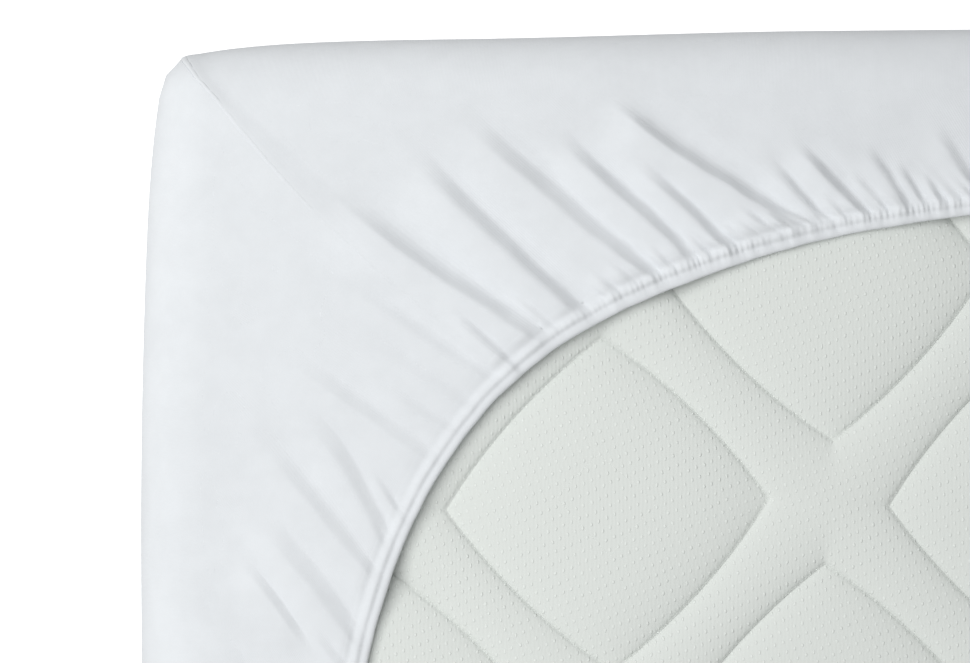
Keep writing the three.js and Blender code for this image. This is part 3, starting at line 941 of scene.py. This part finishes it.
class Quilting:
    """The ticking's pattern of cells, each of which holds one diamond."""

    def __init__(self, form, sizes):
        self.form = form
        self.sizes = sizes
        self.x = QUILT["first_p"] - form.half_length
        self.y = form.half_width - QUILT["first_q"]
        self.steps = quilt_steps()
        cells = []
        for corner in CORNERS:
            along = 2 * (corner.sign_x * form.half_length - self.x) / QUILT["pitch_x"]
            across = 2 * (corner.sign_y * form.half_width - self.y) / QUILT["pitch_y"]
            cells.append(((along - across) / 2, (along + across) / 2))
        self.low = [round(min(cell[k] for cell in cells) - 1) for k in (0, 1)]
        self.high = [round(max(cell[k] for cell in cells) + 1) for k in (0, 1)]

    def counts(self):
        return [(self.high[k] - self.low[k]) * len(self.steps) + 1 for k in (0, 1)]

    def local(self, axis, number):
        """The cell a grid line lies in, and where it lies in that cell."""
        last = self.high[axis] - self.low[axis]
        cell, step = divmod(number, len(self.steps))
        if cell == last:
            return self.high[axis] - 1, 1
        return self.low[axis] + cell, self.steps[step]

    def place(self, column, row):
        cell_a, along = self.local(0, column)
        cell_b, across = self.local(1, row)
        s = quilt_spread(along, across)
        t = quilt_spread(across, along)
        fade = min(1, (1 - max(abs(s), abs(t))) / (1 - QUILT["seam_at"]))
        turn = QUILT["turn"] * fade
        a = cell_a + (s * math.cos(turn) - t * math.sin(turn)) / 2
        b = cell_b + (s * math.sin(turn) + t * math.cos(turn)) / 2
        x = self.x + (a + b) * QUILT["pitch_x"] / 2
        y = self.y + (b - a) * QUILT["pitch_y"] / 2
        return Vector((x, y, self.height(x, y, along, across)))

    def height(self, x, y, along, across):
        form = self.form
        from_edge = min(form.half_length - abs(x), form.half_width - abs(y))
        border = 1 - ramp(from_edge, QUILT["plain_border"], QUILT["border_blend"])
        quilted = form.mattress_top - self.sizes.seam_depth / MM + quilt_rise(self.sizes, along, across)
        quilted += self.sizes.softness / MM * drift(x, y, QUILT["soft_over"], 6.3)
        return mix(min(quilted, form.mattress_top), form.mattress_top, border)

    def unwrap(self, column, row):
        cell_a, along = self.local(0, column)
        cell_b, across = self.local(1, row)
        return cell_a + along / 2, cell_b + across / 2


def cut_to_rectangle(bm, half_x, half_y):
    for axis, half in ((Vector((1, 0, 0)), half_x), (Vector((0, 1, 0)), half_y)):
        for sign in (1, -1):
            geometry = [*bm.verts, *bm.edges, *bm.faces]
            plane = axis * sign * half
            bmesh.ops.bisect_plane(
                bm, geom=geometry, dist=1e-6, plane_co=plane, plane_no=axis * sign, clear_outer=True
            )


def mattress_rings(form, mattress_radius):
    """Insets and heights of the mattress's rings, from its top edge down to its base."""
    upper = (form.cover, mattress_radius, form.mattress_top, 1)
    lower = (form.cover, form.corner_radius - form.cover, form.mattress_base, -1)
    rings = [rounding(angle, *upper) for angle in ROUNDING_ANGLES]
    return rings + [rounding(angle, *lower) for angle in MATTRESS_LOWER_ANGLES]


def mattress_mesh(form, sizes):
    quilting = Quilting(form, sizes)
    bm = shaped_grid("mattress", *quilting.counts(), quilting.place, quilting.unwrap)
    mattress_radius = form.edge_radius - form.cover
    half_x = form.half_length - form.edge_radius
    half_y = form.half_width - form.edge_radius
    cut_to_rectangle(bm, half_x * MM, half_y * MM)
    bm.faces.ensure_lookup_table()
    middle = min(bm.faces, key=lambda face: face.calc_center_median().length_squared)
    rim = [edge for edge in bm.edges if edge.is_boundary]
    stations = {}
    for vertex in {v for edge in rim for v in edge.verts}:
        x, y = vertex.co.x / MM, vertex.co.y / MM
        corner = next(c for c in CORNERS if c.sign_x * x >= 0 and c.sign_y * y >= 0)
        along_end = half_x - abs(x) < half_y - abs(y)
        from_corner = half_y - abs(y) if along_end else half_x - abs(x)
        stations[vertex] = (corner, -from_corner if along_end else from_corner)
    for vertex in bm.verts:
        x, y = form.drawn_in(vertex.co.x / MM, vertex.co.y / MM)
        vertex.co.x, vertex.co.y = x * MM, y * MM
    for inset, height in mattress_rings(form, mattress_radius):
        rim, stations = extruded_ring(bm, form, rim, stations, inset, height)
    bmesh.ops.edgeloop_fill(bm, edges=rim)
    faces_up(bm, middle)
    return bm


def extruded_ring(bm, form, rim, stations, inset, height):
    """Extrudes the open rim and lays the new one at that inset and height."""
    made = bmesh.ops.extrude_edge_only(bm, edges=rim)["geom"]
    new_rim = [item for item in made if isinstance(item, bmesh.types.BMEdge) and item.is_boundary]
    new_stations = {}
    for edge in new_rim:
        for vertex in edge.verts:
            if vertex in new_stations:
                continue
            others = [link.other_vert(vertex) for link in vertex.link_edges]
            corner, station = next(stations[other] for other in others if other in stations)
            vertex.co = form.placed(corner, form.ring_point(station, inset), height) * MM
            new_stations[vertex] = (corner, station)
    return new_rim, new_stations


# Materials

# A noise is its scale, detail and roughness, and a span the range of values that it is spread over.
KNIT = {
    "relief": 0.02,
    "course_share": 0.5,
    "nap": (420.0, 3.0, 0.6),
    "nap_height": 0.14,
    "felt": (95.0, 3.0, 0.55),
    "felt_height": 0.16,
    "patches": (22.0, 4.0, 0.6),
    "patch_shade": (0.3, 0.7, 0.975, 1.0),
    "felt_shade": (0.3, 0.7, -0.01, 0.01),
}

# Steps from dot to dot in millimetres, the dot's half width and height, and how far rows wander
DOT_ACROSS = (3.91, 1.66)
DOT_ALONG = (1.83, -4.8)
DOT_SIZE = (0.6, 0.95)
DOT_EDGE = (0.0, 1.6, 1.0, 0.0)
DOT_WANDER = {"Scale": 160.0, "Detail": 1.0}
DOT_WANDERS_BY = 0.0016
RIB_PITCH = 0.00196

QUILT_HALF_CELL = 0.0797
GROOVE_EDGE = (0.0, 0.0014, 1.0, 0.0)
NOTCH_EDGE = (0.0, 0.0022, 1.0, 0.0)
NOTCH_WAVE = (-0.2, 1.0)

TICKING = {
    "grain": (700.0, 2.0),
    "grain_height": 0.12,
    "patches": (130.0, 2.0),
    "patch_dots": (0.3, 0.65, 0.6, 1.0),
    "dot_height": 0.55,
    "rib_height": 0.035,
    "notch_depth": 0.2,
    "groove_painted_shade": 0.02,
    "dot_painted_highlight": 0.08,
}


def new_group(name, inputs, outputs):
    group = bpy.data.node_groups.new(name, "ShaderNodeTree")
    for label, kind, value in inputs:
        socket = group.interface.new_socket(label, in_out="INPUT", socket_type=kind)
        if value is not None:
            socket.default_value = value
    for label, kind in outputs:
        group.interface.new_socket(label, in_out="OUTPUT", socket_type=kind)
    return group, group.nodes.new("NodeGroupInput"), group.nodes.new("NodeGroupOutput")


class Wiring:
    """Adds shader nodes to a tree and joins them."""

    def __init__(self, tree):
        self.tree = tree

    def add(self, kind, inputs=(), **settings):
        node = self.tree.nodes.new(kind)
        for name, value in settings.items():
            setattr(node, name, value)
        for label, value in dict(inputs).items():
            self.join(value, node.inputs[label])
        return node

    def join(self, value, socket):
        if isinstance(value, bpy.types.NodeSocket):
            self.tree.links.new(value, socket)
        else:
            socket.default_value = value

    def math(self, operation, first, second=0.0):
        return self.add("ShaderNodeMath", {0: first, 1: second}, operation=operation).outputs[0]

    def vector(self, operation, first, second):
        second_label = "Scale" if operation == "SCALE" else 1
        inputs = {0: first, second_label: second}
        return self.add("ShaderNodeVectorMath", inputs, operation=operation).outputs

    def span(self, value, low, high, to_low=0.0, to_high=1.0):
        inputs = {"Value": value, "From Min": low, "From Max": high, "To Min": to_low, "To Max": to_high}
        node = self.add("ShaderNodeMapRange", inputs, interpolation_type="SMOOTHSTEP")
        return node.outputs["Result"]

    def noise(self, vector, scale, detail=2.0, roughness=0.5):
        inputs = {"Vector": vector, "Scale": scale, "Detail": detail, "Roughness": roughness}
        return self.add("ShaderNodeTexNoise", inputs).outputs["Fac"]

    def bump(self, height, distance, strength=1.0):
        inputs = {"Height": height, "Distance": distance, "Strength": strength}
        return self.add("ShaderNodeBump", inputs).outputs["Normal"]


def jersey_knit_group():
    """Brushed knit: fine wales along the cut, a soft nap, and faint uneven patches."""
    inputs = [
        ("Cut", "NodeSocketVector", None),
        ("Place", "NodeSocketVector", None),
        ("Wale Pitch", "NodeSocketFloat", 0.0011),
        ("Nap", "NodeSocketFloat", 1.0),
    ]
    outputs = [("Height", "NodeSocketFloat"), ("Shade", "NodeSocketFloat")]
    group, given, result = new_group("Jersey Knit", inputs, outputs)
    wires = Wiring(group)
    cut = wires.add("ShaderNodeSeparateXYZ", {"Vector": given.outputs["Cut"]})
    per_turn = wires.math("DIVIDE", 2 * math.pi, given.outputs["Wale Pitch"])
    wale = wires.math("SINE", wires.math("MULTIPLY", cut.outputs["X"], per_turn))
    course = wires.math("SINE", wires.math("MULTIPLY", cut.outputs["Y"], per_turn))
    loops = wires.math("ADD", wale, wires.math("MULTIPLY", course, KNIT["course_share"]))
    knit = wires.math("MULTIPLY", loops, KNIT["relief"])
    nap = wires.noise(given.outputs["Place"], *KNIT["nap"])
    felt = wires.noise(given.outputs["Place"], *KNIT["felt"])
    napped = wires.math("MULTIPLY", given.outputs["Nap"], KNIT["nap_height"])
    height = wires.math("ADD", knit, wires.math("MULTIPLY", nap, napped))
    height = wires.math("ADD", height, wires.math("MULTIPLY", felt, KNIT["felt_height"]))
    patches = wires.noise(given.outputs["Place"], *KNIT["patches"])
    patch_shade = wires.span(patches, *KNIT["patch_shade"])
    shade = wires.math("ADD", patch_shade, wires.span(felt, *KNIT["felt_shade"]))
    wires.join(height, result.inputs["Height"])
    wires.join(shade, result.inputs["Shade"])
    return group


def knit_dots_group():
    """Double-knit ticking: small oval dots in slanting rows, with fine ribs between them."""
    inputs = [
        ("Place", "NodeSocketVector", None),
        ("Across", "NodeSocketVector", (0.0, 0.0, 0.0)),
        ("Along", "NodeSocketVector", (0.0, 0.0, 0.0)),
    ]
    outputs = [("Dots", "NodeSocketFloat"), ("Ribs", "NodeSocketFloat")]
    group, given, result = new_group("Knit Dots", inputs, outputs)
    wires = Wiring(group)
    wander = wires.add("ShaderNodeTexNoise", {"Vector": given.outputs["Place"], **DOT_WANDER})
    centred = wires.vector("SUBTRACT", wander.outputs["Color"], (0.5, 0.5, 0.5))[0]
    shifted = wires.vector("SCALE", centred, DOT_WANDERS_BY)[0]
    place = wires.vector("ADD", given.outputs["Place"], shifted)[0]
    offsets = []
    for label in ("Across", "Along"):
        count = wires.vector("DOT_PRODUCT", place, given.outputs[label])["Value"]
        offsets.append(wires.math("SUBTRACT", count, wires.math("ROUND", count)))
    squares = []
    for step_across, step_along, size in zip(DOT_ACROSS, DOT_ALONG, DOT_SIZE):
        shares = [wires.math("MULTIPLY", *pair) for pair in zip(offsets, (step_across, step_along))]
        off = wires.math("DIVIDE", wires.math("ADD", *shares), size)
        squares.append(wires.math("MULTIPLY", off, off))
    wires.join(wires.span(wires.math("ADD", *squares), *DOT_EDGE), result.inputs["Dots"])
    parts = wires.add("ShaderNodeSeparateXYZ", {"Vector": place})
    ribs = wires.math("SINE", wires.math("MULTIPLY", parts.outputs["X"], 2 * math.pi / RIB_PITCH))
    wires.join(ribs, result.inputs["Ribs"])
    return group


def quilt_seam_group():
    """Stitched quilting seam: a narrow groove, whose mask darkens the ticking's colour as painted shade,
    with a notch at each stitch.
    """
    inputs = [
        ("Cells", "NodeSocketVector", None),
        ("Seam At", "NodeSocketFloat", QUILT["seam_at"]),
        ("Half Cell", "NodeSocketFloat", QUILT_HALF_CELL),
        ("Stitch", "NodeSocketFloat", 0.0035),
    ]
    outputs = [("Groove", "NodeSocketFloat"), ("Notches", "NodeSocketFloat")]
    group, given, result = new_group("Quilt Seam", inputs, outputs)
    wires = Wiring(group)
    cells = wires.add("ShaderNodeSeparateXYZ", {"Vector": given.outputs["Cells"]})
    sizes = []
    for axis in ("X", "Y"):
        doubled = wires.math("MULTIPLY", cells.outputs[axis], 2.0)
        sizes.append(wires.math("PINGPONG", doubled, 1.0))
    farther = wires.math("MAXIMUM", *sizes)
    nearer = wires.math("MINIMUM", *sizes)
    off = wires.math("ABSOLUTE", wires.math("SUBTRACT", farther, given.outputs["Seam At"]))
    distance = wires.math("MULTIPLY", off, given.outputs["Half Cell"])
    groove = wires.span(distance, *GROOVE_EDGE)
    run = wires.math("MULTIPLY", nearer, given.outputs["Half Cell"])
    count = wires.math("DIVIDE", run, given.outputs["Stitch"])
    wave = wires.math("COSINE", wires.math("MULTIPLY", count, 2 * math.pi))
    notch = wires.math("MULTIPLY", wires.span(wave, *NOTCH_WAVE), wires.span(distance, *NOTCH_EDGE))
    wires.join(groove, result.inputs["Groove"])
    wires.join(notch, result.inputs["Notches"])
    return group


def cloth_material(name, roughness, sheen):
    material = bpy.data.materials.new(name)
    material.use_nodes = True
    wires = Wiring(material.node_tree)
    shader = material.node_tree.nodes["Principled BSDF"]
    shader.inputs["Roughness"].default_value = roughness
    shader.inputs["Diffuse Roughness"].default_value = 0.3
    shader.inputs["Specular IOR Level"].default_value = 0.1
    shader.inputs["Sheen Weight"].default_value = sheen
    shader.inputs["Sheen Roughness"].default_value = 0.5
    return material, wires, shader


def use_group(wires, group, inputs):
    node = wires.tree.nodes.new("ShaderNodeGroup")
    node.node_tree = group
    for label, value in inputs.items():
        wires.join(value, node.inputs[label])
    return node


def shaded(wires, colour, shade):
    """A colour that gets a little darker where the shade value is under one."""
    inputs = {0: 1.0, 6: (*colour, 1.0), 7: shade}
    node = wires.tree.nodes.new("ShaderNodeMix")
    node.data_type = "RGBA"
    node.blend_type = "MULTIPLY"
    for number, value in inputs.items():
        wires.join(value, node.inputs[number])
    return node.outputs[2]


def jersey_material(name, colour, nap):
    material, wires, shader = cloth_material(name, 0.92, 0.06)
    group = bpy.data.node_groups.get("Jersey Knit") or jersey_knit_group()
    places = wires.tree.nodes.new("ShaderNodeTexCoord")
    cut = wires.add("ShaderNodeUVMap", uv_map="cut")
    inputs = {"Cut": cut.outputs["UV"], "Place": places.outputs["Object"], "Nap": nap}
    knit = use_group(wires, group, inputs)
    wires.join(shaded(wires, colour, knit.outputs["Shade"]), shader.inputs["Base Color"])
    wires.join(wires.bump(knit.outputs["Height"], MM, 0.6), shader.inputs["Normal"])
    return material


def ticking_material(name, colour, sizes):
    material, wires, shader = cloth_material(name, 0.9, 0.03)
    dots_group = bpy.data.node_groups.get("Knit Dots") or knit_dots_group()
    seam_group = bpy.data.node_groups.get("Quilt Seam") or quilt_seam_group()
    places = wires.tree.nodes.new("ShaderNodeTexCoord").outputs["Object"]
    cells = wires.add("ShaderNodeUVMap", uv_map="cut").outputs["UV"]
    first, second = dot_counts()
    dots = use_group(wires, dots_group, {"Place": places, "Across": first, "Along": second})
    seam = use_group(wires, seam_group, {"Cells": cells, "Stitch": sizes.stitch})
    grain = wires.noise(places, *TICKING["grain"])
    uneven_dots = wires.span(wires.noise(places, *TICKING["patches"]), *TICKING["patch_dots"])
    raised_dots = wires.math("MULTIPLY", dots.outputs["Dots"], uneven_dots)
    height = wires.math("MULTIPLY", raised_dots, TICKING["dot_height"])
    ribs = wires.math("MULTIPLY", dots.outputs["Ribs"], TICKING["rib_height"])
    height = wires.math("ADD", height, ribs)
    height = wires.math("ADD", height, wires.math("MULTIPLY", grain, TICKING["grain_height"]))
    notches = wires.math("MULTIPLY", seam.outputs["Notches"], TICKING["notch_depth"])
    height = wires.math("SUBTRACT", height, notches)
    # Painted shade: the colour is a little darker along each quilting seam's line, where the seam's hollow
    # lies in shade.
    groove = wires.math("MULTIPLY", seam.outputs["Groove"], TICKING["groove_painted_shade"])
    shade = wires.math("SUBTRACT", 1.0, groove)
    # Painted highlight: the raised dots are made lighter in colour for the light they catch.
    painted_dot_highlight = wires.math("MULTIPLY", dots.outputs["Dots"], TICKING["dot_painted_highlight"])
    shade = wires.math("ADD", shade, painted_dot_highlight)
    wires.join(shaded(wires, colour, shade), shader.inputs["Base Color"])
    wires.join(wires.bump(height, MM, 0.7), shader.inputs["Normal"])
    return material


def dot_counts():
    """Vectors that count the rows of dots crossed by a step over the ticking, each way."""
    across = Vector(DOT_ACROSS) * MM
    along = Vector(DOT_ALONG) * MM
    area = across.x * along.y - across.y * along.x
    first = (along.y / area, -along.x / area, 0.0)
    second = (-across.y / area, across.x / area, 0.0)
    return first, second


# Settings

class PadSizes(bpy.types.PropertyGroup):
    cloth: FloatProperty(name="Cloth", description="Thickness of the jersey", default=0.0024, unit="LENGTH")
    edge_clearance: FloatProperty(
        name="Edge Clearance", description="Room between cloth and mattress", default=0.002, unit="LENGTH"
    )
    lower_gap: FloatProperty(
        name="Lower Gap", description="Room under the mattress", default=0.0004, unit="LENGTH"
    )
    upper_gap: FloatProperty(
        name="Upper Gap", description="Room between skirt and mattress", default=0.0008, unit="LENGTH"
    )
    mattress_thickness: FloatProperty(
        name="Mattress Thickness", description="Height of the mattress", default=0.18, unit="LENGTH"
    )
    edge_radius: FloatProperty(
        name="Edge Radius", description="Rounding of the pad's upper edge", default=0.0284, unit="LENGTH"
    )
    corner_radius: FloatProperty(
        name="Corner Radius", description="Rounding of the corners in plan", default=0.0144, unit="LENGTH"
    )
    hem_width: FloatProperty(
        name="Hem Width", description="From free edge to outer line", default=0.009, unit="LENGTH"
    )
    hem_thickness: FloatProperty(
        name="Hem Thickness", description="Thickness of the rolled hem", default=0.0042, unit="LENGTH"
    )
    pucker_pitch: FloatProperty(
        name="Pucker Pitch", description="Step of the hem's small folds", default=0.003, unit="LENGTH"
    )
    pucker_height: FloatProperty(
        name="Pucker Height", description="Height of the hem's small folds", default=0.0005, unit="LENGTH"
    )
    unevenness: FloatProperty(
        name="Unevenness", description="Rise and fall between creases", default=0.0007, unit="LENGTH"
    )


class TickingSizes(bpy.types.PropertyGroup):
    seam_depth: FloatProperty(
        name="Seam Depth", description="How deep the quilting seams lie", default=0.009, unit="LENGTH"
    )
    band_rise: FloatProperty(
        name="Band Rise", description="Height of the bands between diamonds", default=0.006, unit="LENGTH"
    )
    softness: FloatProperty(
        name="Softness", description="Unevenness of the padding", default=0.0005, unit="LENGTH"
    )
    stitch: FloatProperty(
        name="Stitch", description="Length of a quilting stitch", default=0.0035, unit="LENGTH"
    )


class ClothColours(bpy.types.PropertyGroup):
    jersey: FloatVectorProperty(
        name="Jersey", description="Colour of the pad", default=(0.81, 0.835, 0.857), subtype="COLOR"
    )
    ticking: FloatVectorProperty(
        name="Ticking", description="Colour of the mattress", default=(0.785, 0.815, 0.787), subtype="COLOR"
    )


class StageSettings(bpy.types.PropertyGroup):
    floor: FloatVectorProperty(
        name="Floor", description="Colour of the floor", default=(0.75, 0.75, 0.75), subtype="COLOR"
    )
    glow: FloatProperty(name="Floor Glow", description="Light that the floor gives", default=0.8)
    key: FloatProperty(name="Key", description="Power of the large soft light", default=17.3, unit="POWER")
    fill: FloatProperty(name="Fill", description="Strength of the light from all round", default=0.40)


# Operators

class MATTRESSPAD_OT_pad(bpy.types.Operator):
    """Lay the pad's cloth over the mattress, from its gathered hem to its sleeping panel"""

    bl_idname = "mattresspad.lay_pad"
    bl_label = "Lay Pad"

    def execute(self, context):
        form = PadForm(context.scene.pad_sizes)
        colours = context.scene.pad_colours
        jersey = jersey_material("jersey", colours.jersey, 1.0)
        mesh = cloth_mesh(form, laid_columns(form, CLOTH_SPACING))
        pad = finished(mesh, "pad", jersey)
        thickened(pad, form.cloth * MM)
        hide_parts("fitted_pad")
        return {"FINISHED"}


class MATTRESSPAD_OT_hem(bpy.types.Operator):
    """Turn the elastic hem, with its stitched line and its small folds"""

    bl_idname = "mattresspad.turn_hem"
    bl_label = "Turn Hem"

    def execute(self, context):
        form = PadForm(context.scene.pad_sizes)
        colours = context.scene.pad_colours
        jersey = jersey_material("hem_jersey", colours.jersey, 0.8)
        finished(hem_mesh(form, laid_columns(form, HEM_SPACING)), "hem", jersey)
        return {"FINISHED"}


class MATTRESSPAD_OT_seams(bpy.types.Operator):
    """Close the four corners with their diagonal seams"""

    bl_idname = "mattresspad.close_corners"
    bl_label = "Close Corners"

    def execute(self, context):
        form = PadForm(context.scene.pad_sizes)
        jersey = bpy.data.materials["hem_jersey"]
        for index, corner in enumerate(CORNERS):
            finished(seam_mesh(form, corner, index), f"corner_seam_{index + 1}", jersey)
        return {"FINISHED"}


class MATTRESSPAD_OT_mattress(bpy.types.Operator):
    """Fill the quilted mattress that the pad fits"""

    bl_idname = "mattresspad.fill_mattress"
    bl_label = "Fill Mattress"

    def execute(self, context):
        sizes = context.scene.ticking_sizes
        form = PadForm(context.scene.pad_sizes)
        ticking = ticking_material("ticking", context.scene.pad_colours.ticking, sizes)
        mattress = finished(mattress_mesh(form, sizes), "quilted_mattress", ticking)
        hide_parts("mattress")
        return {"FINISHED"}


class MATTRESSPAD_OT_declare(bpy.types.Operator):
    """Looks up the hem and the corner seams, and does nothing more with them"""

    bl_idname = "mattresspad.declare_cloth"
    bl_label = "Declare Cloth"

    def execute(self, context):
        form = PadForm(context.scene.pad_sizes)
        pieces = [bpy.data.objects["hem"]]
        pieces += [bpy.data.objects[f"corner_seam_{index + 1}"] for index in range(len(CORNERS))]
        return {"FINISHED"}


class MATTRESSPAD_OT_stage(bpy.types.Operator):
    """Set the pale floor, the soft light and the camera over the corner"""

    bl_idname = "mattresspad.set_stage"
    bl_label = "Set Stage"

    def execute(self, context):
        settings = context.scene.pad_stage
        make_floor(settings)
        make_light(settings)
        make_camera()
        return {"FINISHED"}


# The stage, in metres. The camera looks straight down on the photographed corner.
FLOOR_HALF = 7
FLOOR_DROP = 0.0003
VIEW_CENTRE = Vector((-0.8319, 0.3071, 0.186))
VIEW_WIDTH = 0.485
VIEW_TURN = math.radians(-0.5)
CAMERA_HEIGHT = 5.0
KEY_FROM = Vector((-0.68, 0.11, 1.38))
KEY_SIZE = 1.1


def make_floor(settings):
    bm = bmesh.new()
    bmesh.ops.create_grid(bm, x_segments=1, y_segments=1, size=FLOOR_HALF)
    bmesh.ops.translate(bm, verts=bm.verts, vec=(0, 0, -FLOOR_DROP))
    mesh = bpy.data.meshes.new("floor")
    bm.to_mesh(mesh)
    bm.free()
    material = bpy.data.materials.new("floor")
    material.use_nodes = True
    shader = material.node_tree.nodes["Principled BSDF"]
    shader.inputs["Base Color"].default_value = (*settings.floor, 1)
    shader.inputs["Roughness"].default_value = 0.9
    shader.inputs["Emission Color"].default_value = (1, 1, 1, 1)
    wires = Wiring(material.node_tree)
    seen = wires.add("ShaderNodeLightPath").outputs["Is Camera Ray"]
    wires.join(wires.math("MULTIPLY", seen, settings.glow), shader.inputs["Emission Strength"])
    mesh.materials.append(material)
    floor = bpy.data.objects.new("floor", mesh)
    bpy.context.scene.collection.objects.link(floor)


def make_light(settings):
    scene = bpy.context.scene
    world = bpy.data.worlds.new("studio")
    world.use_nodes = True
    background = world.node_tree.nodes["Background"]
    background.inputs["Color"].default_value = (1, 1, 1, 1)
    background.inputs["Strength"].default_value = settings.fill
    scene.world = world
    light = bpy.data.lights.new("key", "AREA")
    light.size = KEY_SIZE
    light.energy = settings.key
    key = bpy.data.objects.new("key", light)
    key.location = VIEW_CENTRE + KEY_FROM
    key.rotation_euler = (-KEY_FROM).to_track_quat("-Z", "Y").to_euler()
    scene.collection.objects.link(key)
    scene.view_settings.view_transform = "Standard"


def make_camera():
    scene = bpy.context.scene
    data = bpy.data.cameras.new("camera")
    data.sensor_width = 36
    data.lens = data.sensor_width * CAMERA_HEIGHT / VIEW_WIDTH
    data.clip_end = 50
    camera = bpy.data.objects.new("camera", data)
    camera.location = VIEW_CENTRE + Vector((0, 0, CAMERA_HEIGHT))
    camera.rotation_euler = (0, 0, VIEW_TURN)
    scene.collection.objects.link(camera)
    scene.camera = camera


class MATTRESSPAD_PT_parts(bpy.types.Panel):
    """Lists the pad's parts and its stage"""

    bl_label = "Mattress Pad"
    bl_idname = "MATTRESSPAD_PT_parts"
    bl_space_type = "VIEW_3D"
    bl_region_type = "UI"
    bl_category = "Mattress Pad"

    def draw(self, context):
        for operator in OPERATORS:
            self.layout.operator(operator.bl_idname)
        for group in (context.scene.pad_sizes, context.scene.ticking_sizes, context.scene.pad_colours):
            for name in group.__annotations__:
                self.layout.prop(group, name)


OPERATORS = [
    MATTRESSPAD_OT_pad,
    MATTRESSPAD_OT_hem,
    MATTRESSPAD_OT_seams,
    MATTRESSPAD_OT_mattress,
    MATTRESSPAD_OT_declare,
    MATTRESSPAD_OT_stage,
]
GROUPS = {
    "pad_sizes": PadSizes,
    "ticking_sizes": TickingSizes,
    "pad_colours": ClothColours,
    "pad_stage": StageSettings,
}


def register():
    for group in GROUPS.values():
        bpy.utils.register_class(group)
    for name, group in GROUPS.items():
        setattr(bpy.types.Scene, name, PointerProperty(type=group))
    for operator in OPERATORS:
        bpy.utils.register_class(operator)
    bpy.utils.register_class(MATTRESSPAD_PT_parts)


def unregister():
    bpy.utils.unregister_class(MATTRESSPAD_PT_parts)
    for operator in reversed(OPERATORS):
        bpy.utils.unregister_class(operator)
    for name, group in GROUPS.items():
        delattr(bpy.types.Scene, name)
        bpy.utils.unregister_class(group)


def main():
    register()
    bpy.ops.mattresspad.lay_pad()
    bpy.ops.mattresspad.turn_hem()
    bpy.ops.mattresspad.close_corners()
    bpy.ops.mattresspad.fill_mattress()
    bpy.ops.mattresspad.declare_cloth()
    bpy.ops.mattresspad.set_stage()


if __name__ == "__main__":
    main()
